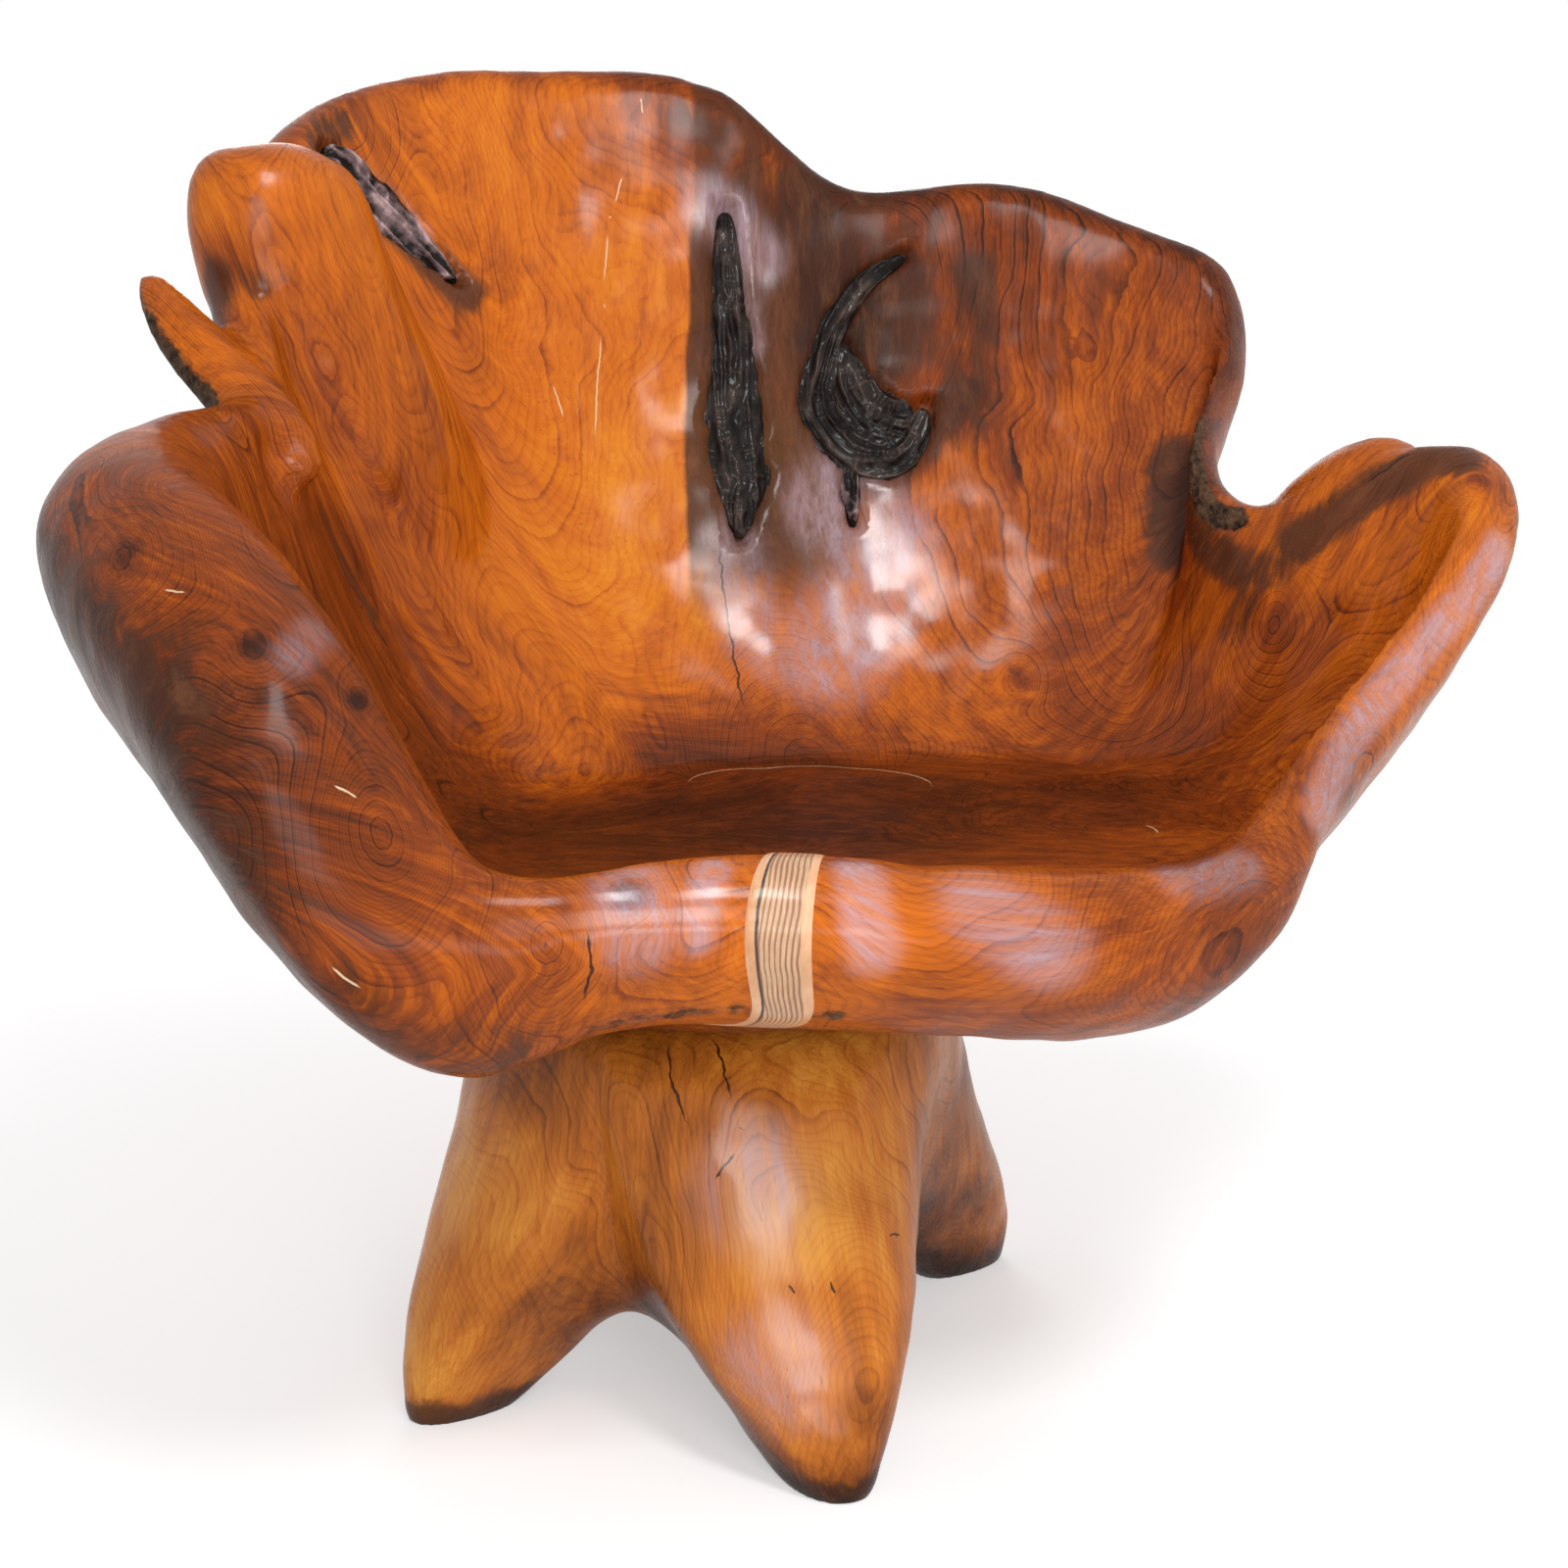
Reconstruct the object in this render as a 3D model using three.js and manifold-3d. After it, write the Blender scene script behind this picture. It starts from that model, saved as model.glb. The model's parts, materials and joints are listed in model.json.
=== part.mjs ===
// A carved root-wood lounge chair: a one-piece bowl seat that turns on a ball bearing over a four-footed
// root base. Lengths are millimetres, +Z is up, the sitter faces -Y and the floor is z = 0.
import * as THREE from "three";
import { mergeVertices } from "three/addons/utils/BufferGeometryUtils.js";
import Module from "manifold-3d";

// Overall size of the seat
const seatHalfWidth = 520;
const seatHalfDepth = 360;
const backHeight = 1000;
const wallThickness = 100;

// Where the middle of the seat's drawing lies, so that the origin is the middle of the whole outline
const drawingX = -3.5;
const drawingY = 12;

// The hollow that the sitter sits in
const hollowFloorHeight = 425;
const hollowHalfWidth = 275;
const hollowHalfDepth = 220;
const hollowCentreX = 30;
const hollowCentreY = -90;
const hollowCornerPower = 2.8;
const hollowLeastRun = 30;
const hollowBackRise = 20;
const hollowMostBulge = 50;

// The flat that is sawn under the seat, and the swell above it
const sawnHalfWidth = 300;
const sawnHalfDepth = 235;
const sawnCentreX = -60;
const sawnCentreY = 35;
const bellySwell = 4;
const bellyLeastWall = 62;

// The root base. A leg's crotch share is the place of the crotch after it, between it and the next leg, and
// its crotch drop is how much deeper than usual that crotch hangs.
const baseHeight = 300;
const baseTopRadius = 170;
const legReach = 280;
const legs = [
  { azimuth: -153, reachShare: 0.985, beforeSpread: 1, crotchShare: 0.4, crotchDrop: 1.2 },
  { azimuth: -80, reachShare: 1.075, beforeSpread: 1.5, crotchShare: 0.5, crotchDrop: 1 },
  { azimuth: 21.5, reachShare: 1.005, beforeSpread: 1, crotchShare: 0.5, crotchDrop: 1 },
  { azimuth: 113, reachShare: 0.98, beforeSpread: 1, crotchShare: 0.5, crotchDrop: 1 },
];

// The swivel bearing
const swivelX = -70;
const swivelY = 40;
const plateSize = 305;
const plateCornerRadius = 12;
const sheetThickness = 2.5;
const ballCount = 16;
const ballRadius = 4;
const ballPitchRadius = 118;
const trackDepth = 1.2;
const trackSpan = 12;
const cageHalfWidth = 8;
const cageThickness = 1.5;
const collarRadius = 84;
const collarLipWidth = 11;
const plateOverlap = 4;
const accessHoleRadius = 9;

// The wood screws
const shankRadius = 2.2;
const screwHeadRadius = 4.6;
const screwHeadHeight = 2.6;
const screwHeadDome = 0.9;
const screwLength = 25;
const screwTip = 5;
const lowerScrewInset = 54.5;
const upperScrewInset = 22.5;

// The pale strip that is let into the front lip
const inlayDepth = 14;
const inlayGap = 0.6;

// Clearance between two pieces, and how far a cutter runs past a surface
const fitGap = 0.3;
const overrun = 6;

// Mesh counts
const rimCount = 78;
const rimDetail = [1, 1, 1, 2, 2, 2, 2, 2, 2, 2, 2, 2, 2, 2, 1, 1, 1, 1];
const baseRimCount = 56;
const baseDetail = [1, 1, 1, 1, 1, 2, 2, 2, 2, 1, 2, 1, 1, 1];
const ringSegments = 48;
const screwSegments = 8;
const limbSides = 12;
const limbRings = 10;
const ballSides = 8;
const ballRows = 5;
const cornerSegments = 3;

const sawnHeight = baseHeight + 2 * (sheetThickness - trackDepth + fitGap + ballRadius) + fitGap;

const wasm = await Module();
wasm.setup();

function solidOf(geometry) {
  const bare = geometry.clone();
  bare.deleteAttribute("normal");
  bare.deleteAttribute("uv");
  const merged = mergeVertices(bare);
  return new wasm.Manifold(
    new wasm.Mesh({
      numProp: 3,
      vertProperties: merged.attributes.position.array,
      triVerts: new Uint32Array(merged.index.array),
    }),
  );
}

function geometryOf(solid) {
  const mesh = solid.getMesh();
  const geometry = new THREE.BufferGeometry();
  geometry.setAttribute("position", new THREE.BufferAttribute(mesh.vertProperties, 3));
  geometry.setIndex(new THREE.BufferAttribute(mesh.triVerts, 1));
  geometry.computeVertexNormals();
  return geometry;
}

// The four neighbours and weights of a uniform cubic B-spline at one parameter. An open spline repeats its
// end controls three times, so it starts and ends on them.
function splineTerms(parameter, count, closed) {
  const spans = closed ? count : count + 1;
  const place = closed ? parameter * spans : Math.min(parameter, 1) * spans;
  const span = closed ? Math.floor(place) : Math.min(Math.floor(place), spans - 1);
  const f = place - span;
  const weights = [
    (1 - f) ** 3 / 6,
    (3 * f ** 3 - 6 * f ** 2 + 4) / 6,
    (-3 * f ** 3 + 3 * f ** 2 + 3 * f + 1) / 6,
    f ** 3 / 6,
  ];
  return weights.map((weight, k) => {
    const control = closed
      ? (span + k - 1 + count) % count
      : THREE.MathUtils.clamp(span + k - 2, 0, count - 1);
    return [control, weight];
  });
}

// A point of the surface that a net of controls carries: around the closed rim, then along the open profile.
function netPoint(net, around, along) {
  const point = new THREE.Vector3();
  for (const [station, stationWeight] of splineTerms(around, net.length, true)) {
    for (const [row, rowWeight] of splineTerms(along, net[station].length, false)) {
      point.addScaledVector(net[station][row], stationWeight * rowWeight);
    }
  }
  return point;
}

function netNormal(net, around, along) {
  const step = 1e-3;
  const here = netPoint(net, around, along);
  const aside = netPoint(net, around + step, along).sub(here);
  const onward = netPoint(net, around, along + step).sub(here);
  return aside.cross(onward).normalize();
}

// Profile parameters with a chosen number of steps in each span of the spline.
function detailParameters(detail) {
  const parameters = [0];
  detail.forEach((steps, span) => {
    for (let k = 1; k <= steps; k++) parameters.push((span + k / steps) / detail.length);
  });
  return parameters;
}

// Closes rings of points into a skin. The first and the last ring shrink to one point each.
function skinOf(rings) {
  const count = rings[0].length;
  const inner = rings.slice(1, -1);
  const points = [rings[0][0], ...inner.flat(), rings.at(-1)[0]];
  const last = points.length - 1;
  const triangles = [];
  for (let i = 0; i < count; i++) {
    const next = (i + 1) % count;
    triangles.push(0, 1 + i, 1 + next);
    for (let ring = 0; ring < inner.length - 1; ring++) {
      const a = 1 + ring * count;
      const b = a + count;
      triangles.push(a + i, b + i, b + next, a + i, b + next, a + next);
    }
    const end = last - count;
    triangles.push(end + i, last, end + next);
  }
  const geometry = new THREE.BufferGeometry().setFromPoints(points);
  geometry.setIndex(triangles);
  const solid = solidOf(geometry);
  if (solid.volume() > 0) return solid;
  geometry.setIndex(triangles.reverse());
  return solidOf(geometry);
}

function netSolid(net, stationCount, detail) {
  const rings = detailParameters(detail).map((along) =>
    Array.from({ length: stationCount }, (_, i) => netPoint(net, i / stationCount, along)),
  );
  return skinOf(rings);
}

// The inner edge of the rim, station by station from the middle of the front lip round by the left arm.
// Each station holds shares of the half width, the half depth, the height and the wall thickness.
const rimShares = [
  [-0.15, -0.83, 0.46, 0.86],
  [-0.27, -0.85, 0.46, 0.85],
  [-0.4, -0.9, 0.46, 0.92],
  [-0.505, -0.92, 0.47, 1.2],
  [-0.555, -0.9, 0.51, 1.38],
  [-0.59, -0.82, 0.57, 1.52],
  [-0.65, -0.72, 0.62, 1.45],
  [-0.72, -0.6, 0.66, 1.4],
  [-0.8, -0.44, 0.69, 1.36],
  [-0.8, -0.26, 0.7, 1.2],
  [-0.76, -0.1, 0.72, 0.64],
  [-0.715, 0.07, 0.725, 0.5],
  [-0.745, 0.2, 0.8, 0.52],
  [-0.77, 0.32, 0.87, 0.55],
  [-0.69, 0.46, 0.92, 0.55],
  [-0.63, 0.61, 0.955, 0.55],
  [-0.5, 0.73, 0.98, 0.58],
  [-0.31, 0.81, 0.985, 0.6],
  [-0.16, 0.83, 0.99, 0.6],
  [-0.03, 0.83, 0.98, 0.6],
  [0.05, 0.82, 0.935, 0.6],
  [0.16, 0.81, 0.885, 0.6],
  [0.3, 0.79, 0.9, 0.6],
  [0.45, 0.74, 0.9, 0.6],
  [0.59, 0.68, 0.865, 0.6],
  [0.72, 0.59, 0.845, 0.6],
  [0.755, 0.53, 0.79, 0.5],
  [0.67, 0.415, 0.73, 0.5],
  [0.62, 0.315, 0.68, 0.5],
  [0.635, 0.24, 0.64, 0.55],
  [0.695, 0.17, 0.63, 0.55],
  [0.77, 0.1, 0.66, 0.5],
  [0.85, 0.02, 0.69, 0.52],
  [0.935, -0.12, 0.695, 0.66],
  [0.9, -0.25, 0.64, 0.6],
  [0.745, -0.35, 0.56, 0.5],
  [0.605, -0.44, 0.5, 0.5],
  [0.51, -0.57, 0.46, 0.56],
  [0.42, -0.68, 0.44, 0.94],
  [0.27, -0.76, 0.44, 1.05],
  [0.05, -0.81, 0.45, 0.92],
];

// Rows of the seat's profile: over the hollow's floor, up its wall, round the rim and under the seat.
// Wall rows give the share of the climb and of the bulge, rim rows the share of the thickness along the
// wall and across it.
const floorReachShares = [0, 0.5, 0.9, 1];
const wallShares = [
  [0.25, 0.8],
  [0.65, 0.7],
];
const rimProfileShares = [
  [-0.08, 0],
  [0.3, 0.12],
  [0.44, 0.5],
  [0.3, 0.88],
  [-0.1, 1.03],
  [-0.6, 1.1],
];
const bellyShare = 0.5;
const bulgeShare = 0.25;
const sawnReachShares = [1, 0.9, 0.5, 0];

function seatStation([across, deep, high, thick]) {
  const edge = new THREE.Vector3(across * seatHalfWidth, deep * seatHalfDepth, high * backHeight);
  const pole = new THREE.Vector3(hollowCentreX, hollowCentreY, hollowFloorHeight);
  const outward = edge.clone().sub(pole).setZ(0);
  const run = outward.length();
  outward.normalize();
  const corner =
    (Math.abs(outward.x / hollowHalfWidth) ** hollowCornerPower +
      Math.abs(outward.y / hollowHalfDepth) ** hollowCornerPower) **
    (-1 / hollowCornerPower);
  const floorRun = Math.min(corner, run - hollowLeastRun);
  const foot = pole.clone().addScaledVector(outward, floorRun);
  foot.z += hollowBackRise * Math.max(outward.y, 0);
  const up = new THREE.Vector3(0, 0, 1);
  const climb = edge.clone().sub(foot);
  const height = climb.length();
  climb.normalize();
  const outside = outward.clone().multiplyScalar(climb.z).addScaledVector(up, -climb.dot(outward));
  const thickness = thick * wallThickness;
  const bulge = Math.min(bulgeShare * height, hollowMostBulge);

  const rows = floorReachShares.map((share) => pole.clone().lerp(foot, share));
  for (const [rise, swell] of wallShares) {
    rows.push(foot.clone().lerp(edge, rise).addScaledVector(outside, swell * bulge));
  }
  for (const [along, over] of rimProfileShares) {
    const row = edge.clone().addScaledVector(climb, along * thickness);
    rows.push(row.addScaledVector(outside, over * thickness));
  }
  const azimuth = Math.atan2(outward.y, outward.x);
  const middle = new THREE.Vector3(sawnCentreX, sawnCentreY, sawnHeight);
  const sawn = middle.clone();
  sawn.x += sawnHalfWidth * Math.cos(azimuth);
  sawn.y += sawnHalfDepth * Math.sin(azimuth);
  const below = outward.clone().sub(up).normalize();
  const outerEdge = edge.clone().addScaledVector(outside, thickness);
  const belly = outerEdge.lerp(sawn, bellyShare).addScaledVector(below, bellySwell);
  const footRow = floorReachShares.length - 1;
  const walls = [rows[footRow], rows[footRow + 1]].map((inner) => belly.clone().sub(inner).dot(below));
  rows.push(belly.addScaledVector(below, Math.max(bellyLeastWall - Math.min(...walls), 0)));
  for (const share of sawnReachShares) rows.push(middle.clone().lerp(sawn, share));
  return rows;
}

const seatNet = rimShares.map(seatStation);

// The lobe that overlaps the left shoulder, the finger behind the left arm and the ridge behind the right
// one: centre lines as shares of the half width, the half depth and the height.
const lobeHalfWidth = 75;
const lobeHalfThickness = 50;
const lobeLineShares = [
  [-0.49, 0.5, 0.55],
  [-0.56, 0.48, 0.645],
  [-0.62, 0.445, 0.715],
  [-0.68, 0.405, 0.78],
  [-0.722, 0.36, 0.84],
  [-0.744, 0.34, 0.89],
  [-0.748, 0.335, 0.918],
];
const lobeBroadWay = new THREE.Vector3(1, 0.5, 0.45);
const fingerHalfWidth = 33;
const fingerHalfThickness = 29;
const fingerTaper = 0.5;
const fingerLineShares = [
  [-0.69, -0.014, 0.673],
  [-0.745, 0.056, 0.71],
  [-0.802, 0.111, 0.742],
  [-0.856, 0.153, 0.774],
  [-0.891, 0.181, 0.8],
  [-0.913, 0.194, 0.821],
];
const fingerBroadWay = new THREE.Vector3(1, 0.2, 0.8);
const ridgeHalfWidth = 30;
const ridgeHalfThickness = 25;
const ridgeLineShares = [
  [0.74, 0.27, 0.55],
  [0.77, 0.23, 0.62],
  [0.83, 0.17, 0.662],
  [0.88, 0.11, 0.68],
  [0.93, 0.03, 0.68],
];
const ridgeBroadWay = new THREE.Vector3(0.6, 1, 0);
const roundEndPower = 2.6;

// A limb with oval sections along a line and two rounded ends, thinner at its far end by the taper's share.
function limbSolid(points, halfWidth, halfThickness, broadWay, taper = 0) {
  const line = new THREE.CatmullRomCurve3(points);
  const rings = [];
  for (let ring = 0; ring <= limbRings; ring++) {
    const share = (1 - Math.cos((Math.PI * ring) / limbRings)) / 2;
    const roundness = (1 - Math.abs(2 * share - 1) ** roundEndPower) ** (1 / roundEndPower);
    const girth = roundness * (1 - taper * share);
    const centre = line.getPointAt(share);
    const forward = line.getTangentAt(share);
    const narrow = forward.clone().cross(broadWay).normalize();
    const broad = narrow.clone().cross(forward);
    rings.push(
      Array.from({ length: limbSides }, (_, side) => {
        const turn = (2 * Math.PI * side) / limbSides;
        return centre
          .clone()
          .addScaledVector(broad, Math.cos(turn) * girth * halfWidth)
          .addScaledVector(narrow, Math.sin(turn) * girth * halfThickness);
      }),
    );
  }
  return skinOf(rings);
}

function seatLimb(lineShares, halfWidth, halfThickness, broadWay, taper) {
  const points = lineShares.map(
    ([across, deep, high]) =>
      new THREE.Vector3(across * seatHalfWidth, deep * seatHalfDepth, high * backHeight),
  );
  return limbSolid(points, halfWidth, halfThickness, broadWay, taper);
}

// A slab that follows the seat's skin between two places around the rim and two along the profile. Its
// outer face lies above the skin and its inner face below it by the given amounts, with the sides let out.
const slabSteps = 12;
const slabAcross = 3;
function skinSlab([aroundFrom, aroundTo], [alongFrom, alongTo], above, below, letOut) {
  const rowsOf = (offset) =>
    Array.from({ length: slabSteps + 1 }, (_, row) => {
      const along = THREE.MathUtils.lerp(alongFrom, alongTo, row / slabSteps);
      const line = Array.from({ length: slabAcross + 1 }, (_, column) => {
        const around = THREE.MathUtils.lerp(aroundFrom, aroundTo, column / slabAcross);
        const point = netPoint(seatNet, (around + 1) % 1, along);
        return point.addScaledVector(netNormal(seatNet, (around + 1) % 1, along), offset);
      });
      const side = line[0].clone().sub(line.at(-1)).normalize();
      line[0].addScaledVector(side, letOut);
      line.at(-1).addScaledVector(side, -letOut);
      return line;
    });
  const outer = rowsOf(above);
  const inner = rowsOf(-below);
  for (const rows of [outer, inner]) {
    const start = rows[0][0].clone().sub(rows[1][0]).normalize();
    const end = rows.at(-1)[0].clone().sub(rows.at(-2)[0]).normalize();
    rows[0].forEach((point) => point.addScaledVector(start, letOut));
    rows.at(-1).forEach((point) => point.addScaledVector(end, letOut));
  }
  const width = slabAcross + 1;
  const size = width * (slabSteps + 1);
  const triangles = [];
  const quad = (a, b, c, d) => triangles.push(a, b, c, a, c, d);
  for (let row = 0; row < slabSteps; row++) {
    for (let column = 0; column < slabAcross; column++) {
      const a = row * width + column;
      quad(a, a + 1, a + width + 1, a + width);
      quad(size + a, size + a + width, size + a + width + 1, size + a + 1);
    }
    const left = row * width;
    const right = left + slabAcross;
    quad(left, left + width, size + left + width, size + left);
    quad(right, size + right, size + right + width, right + width);
  }
  for (let column = 0; column < slabAcross; column++) {
    const near = column;
    const far = slabSteps * width + column;
    quad(near, size + near, size + near + 1, near + 1);
    quad(far, far + 1, size + far + 1, size + far);
  }
  const geometry = new THREE.BufferGeometry().setFromPoints([...outer.flat(), ...inner.flat()]);
  geometry.setIndex(triangles);
  const solid = solidOf(geometry);
  if (solid.volume() > 0) return solid;
  geometry.setIndex(triangles.reverse());
  return solidOf(geometry);
}

const inlayAroundShares = [-0.006, 0.002];
const inlayAlongShares = [0.42, 0.7];

// Bark pockets in the hollow's wall and the groove in the right arm, as places around the rim and along the
// profile.
const pocketDepth = 13;
const pocketHalfWidth = 20;
const pockets = [
  { widthShare: 0.75, lineShares: [[0.355, 0.395], [0.37, 0.377], [0.387, 0.354]] },
  { widthShare: 1, lineShares: [[0.464, 0.365], [0.459, 0.335], [0.462, 0.293]] },
  { widthShare: 0.9, lineShares: [[0.536, 0.37], [0.512, 0.364], [0.504, 0.345], [0.509, 0.322]] },
  { widthShare: 1.2, lineShares: [[0.509, 0.322], [0.523, 0.322], [0.538, 0.333]] },
  { widthShare: 0.65, lineShares: [[0.798, 0.41], [0.78, 0.382], [0.757, 0.37]] },
];

function pocketSolid({ widthShare, lineShares }) {
  const points = lineShares.map(([around, along]) => netPoint(seatNet, around, along));
  const [around, along] = lineShares[1];
  const across = netNormal(seatNet, around, along).cross(points[2].clone().sub(points[0]));
  return limbSolid(points, widthShare * pocketHalfWidth, pocketDepth, across.normalize());
}

function cylinderSolid(radius, height, x, y, z, segments) {
  const geometry = new THREE.CylinderGeometry(radius, radius, height, segments);
  geometry.rotateX(Math.PI / 2);
  geometry.translate(x, y, z + height / 2);
  return solidOf(geometry);
}

function squarePlaces(inset) {
  const reach = plateSize / 2 - inset;
  return [
    [-reach, -reach],
    [reach, -reach],
    [reach, reach],
    [-reach, reach],
  ];
}

const seatBlank = netSolid(seatNet, rimCount, rimDetail);

function inlaySolid() {
  return skinSlab(inlayAroundShares, inlayAlongShares, overrun, inlayDepth, 0).intersect(seatBlank);
}

function seatSolid() {
  let seat = seatBlank;
  seat = seat.add(seatLimb(lobeLineShares, lobeHalfWidth, lobeHalfThickness, lobeBroadWay));
  seat = seat.add(
    seatLimb(fingerLineShares, fingerHalfWidth, fingerHalfThickness, fingerBroadWay, fingerTaper),
  );
  seat = seat.add(seatLimb(ridgeLineShares, ridgeHalfWidth, ridgeHalfThickness, ridgeBroadWay));
  for (const pocket of pockets) seat = seat.subtract(pocketSolid(pocket));
  seat = seat.subtract(
    skinSlab(inlayAroundShares, inlayAlongShares, overrun, inlayDepth + inlayGap, inlayGap),
  );
  for (const [x, y] of squarePlaces(upperScrewInset)) {
    const hole = cylinderSolid(
      shankRadius + fitGap,
      screwLength + overrun,
      swivelX + x,
      swivelY + y,
      sawnHeight - overrun,
      screwSegments,
    );
    seat = seat.subtract(hole);
  }
  return seat;
}

// Rows of the base's profile from the middle of its top down to the arch between the feet. A leg's reach
// grows from the top radius (0) to the foot's tip (1). Heights are shares of the base's height. The crotch
// between two legs has its own share of the top radius and its own height, and spread is the angle between
// a leg's middle and its sides in degrees.
const baseRowShares = [
  { leg: 0, legHigh: 1, crotch: 0.5, crotchHigh: 1, topShare: 0.5, spread: 30 },
  { leg: 0, legHigh: 1, crotch: 0.9, crotchHigh: 1, topShare: 0.9, spread: 30 },
  { leg: 0, legHigh: 1, crotch: 1, crotchHigh: 1, topShare: 1, spread: 30 },
  { leg: 0.2, legHigh: 0.94, crotch: 1.1, crotchHigh: 0.94, topShare: 1, spread: 29 },
  { leg: 0.38, legHigh: 0.76, crotch: 1.1, crotchHigh: 0.8, topShare: 1, spread: 26 },
  { leg: 0.68, legHigh: 0.5, crotch: 0.97, crotchHigh: 0.64, topShare: 1, spread: 22 },
  { leg: 1.02, legHigh: 0.27, crotch: 0.86, crotchHigh: 0.53, topShare: 1, spread: 18 },
  { leg: 1.2, legHigh: 0.06, crotch: 0.76, crotchHigh: 0.46, topShare: 1, spread: 11 },
  { leg: 1.1, legHigh: -0.12, crotch: 0.64, crotchHigh: 0.44, topShare: 1, spread: 8 },
  { leg: 0.5, legHigh: -0.12, crotch: 0.52, crotchHigh: 0.44, topShare: 1, spread: 10 },
  { leg: -0.2, legHigh: 0.12, crotch: 0.42, crotchHigh: 0.46, topShare: 1, spread: 18 },
  { leg: -0.9, legHigh: 0.38, crotch: 0.3, crotchHigh: 0.47, topShare: 1, spread: 26 },
];
const archHeightShare = 0.48;
const legSideShare = 0.25;

// A station part way from a leg's middle (0) to the crotch beside it (1).
function baseStation(reach, azimuthOf, crotchWay, crotchDrop = 1) {
  const rows = [new THREE.Vector3(swivelX, swivelY, baseHeight)];
  for (const row of baseRowShares) {
    const legRadius = row.topShare * baseTopRadius + row.leg * (reach - baseTopRadius);
    const radius = THREE.MathUtils.lerp(legRadius, row.crotch * baseTopRadius, crotchWay);
    const crotchHigh = 1 - crotchDrop * (1 - row.crotchHigh);
    const height = THREE.MathUtils.lerp(row.legHigh, crotchHigh, crotchWay) * baseHeight;
    const turn = THREE.MathUtils.degToRad(azimuthOf(row));
    rows.push(
      new THREE.Vector3(
        swivelX + radius * Math.cos(turn),
        swivelY + radius * Math.sin(turn),
        height,
      ),
    );
  }
  rows.push(new THREE.Vector3(swivelX, swivelY, archHeightShare * baseHeight));
  return rows;
}

function baseNet() {
  const stations = [];
  legs.forEach((leg, i) => {
    const next = legs[(i + 1) % legs.length];
    const gap = (next.azimuth - leg.azimuth + 360) % 360;
    const reach = leg.reachShare * legReach;
    for (const side of [-leg.beforeSpread, 0, 1]) {
      const azimuthOf = (row) => leg.azimuth + side * row.spread;
      stations.push(baseStation(reach, azimuthOf, side ? legSideShare : 0));
    }
    stations.push(baseStation(reach, () => leg.azimuth + gap * leg.crotchShare, 1, leg.crotchDrop));
  });
  return stations;
}

function baseSolid() {
  let base = netSolid(baseNet(), baseRimCount, baseDetail);
  const under = new THREE.BoxGeometry(4 * baseTopRadius, 4 * baseTopRadius, baseTopRadius);
  under.translate(swivelX, swivelY, -baseTopRadius / 2);
  base = base.subtract(solidOf(under));
  for (const [x, y] of squarePlaces(lowerScrewInset)) {
    const hole = cylinderSolid(
      shankRadius + fitGap,
      screwLength + overrun,
      swivelX + x,
      swivelY + y,
      baseHeight - screwLength,
      screwSegments,
    );
    base = base.subtract(hole);
  }
  return base;
}

// Heights in the bearing, measured from the top of the base
const ballHeight = sheetThickness - trackDepth + fitGap + ballRadius;
const bearingHeight = 2 * ballHeight;
const trackRadius = ballRadius + fitGap;
const trackHalfWidth = Math.sqrt(trackRadius ** 2 - (trackRadius - trackDepth) ** 2);
const plateHoleRadius = ballPitchRadius + trackSpan - plateOverlap;

// The groove that the balls run in, drawn outwards along the lower sheet's upper face.
function trackPoints() {
  const half = Math.asin(trackHalfWidth / trackRadius);
  return [-1, -0.5, 0, 0.5, 1].map(
    (share) =>
      new THREE.Vector2(
        ballPitchRadius + trackRadius * Math.sin(share * half),
        ballHeight - trackRadius * Math.cos(share * half),
      ),
  );
}

function squareSheet(screwInset, bottom, withAccessHole) {
  const half = plateSize / 2;
  const r = plateCornerRadius;
  const outline = new THREE.Shape();
  outline.moveTo(-half + r, -half);
  outline.lineTo(half - r, -half);
  outline.absarc(half - r, -half + r, r, -Math.PI / 2, 0);
  outline.absarc(half - r, half - r, r, 0, Math.PI / 2);
  outline.absarc(-half + r, half - r, r, Math.PI / 2, Math.PI);
  outline.absarc(-half + r, -half + r, r, Math.PI, 1.5 * Math.PI);
  const sheet = new THREE.ExtrudeGeometry(outline, {
    depth: sheetThickness,
    bevelEnabled: false,
    curveSegments: cornerSegments,
  });
  sheet.translate(0, 0, bottom);
  let solid = solidOf(sheet);
  const drill = (radius, x, y, segments) => {
    const tool = cylinderSolid(
      radius,
      sheetThickness + 2 * overrun,
      x,
      y,
      bottom - overrun,
      segments,
    );
    solid = solid.subtract(tool);
  };
  drill(plateHoleRadius, 0, 0, ringSegments);
  for (const [x, y] of squarePlaces(screwInset)) drill(shankRadius + fitGap, x, y, screwSegments);
  if (withAccessHole) {
    const [x, y] = squarePlaces(upperScrewInset)[1];
    drill(accessHoleRadius, x, y, 2 * screwSegments);
  }
  return solid;
}

function ringSolid(points) {
  const ring = new THREE.LatheGeometry([...points, points[0]], ringSegments);
  ring.rotateX(Math.PI / 2);
  const solid = solidOf(ring);
  if (solid.volume() > 0) return solid;
  const turned = new THREE.LatheGeometry([...points, points[0]].reverse(), ringSegments);
  turned.rotateX(Math.PI / 2);
  return solidOf(turned);
}

const at = (radius, height) => new THREE.Vector2(radius, height);
const trackOuter = ballPitchRadius + trackSpan;
const lipTop = bearingHeight - fitGap;
const lipBottom = lipTop - sheetThickness + fitGap;
const lipEdge = collarRadius + collarLipWidth;

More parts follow.
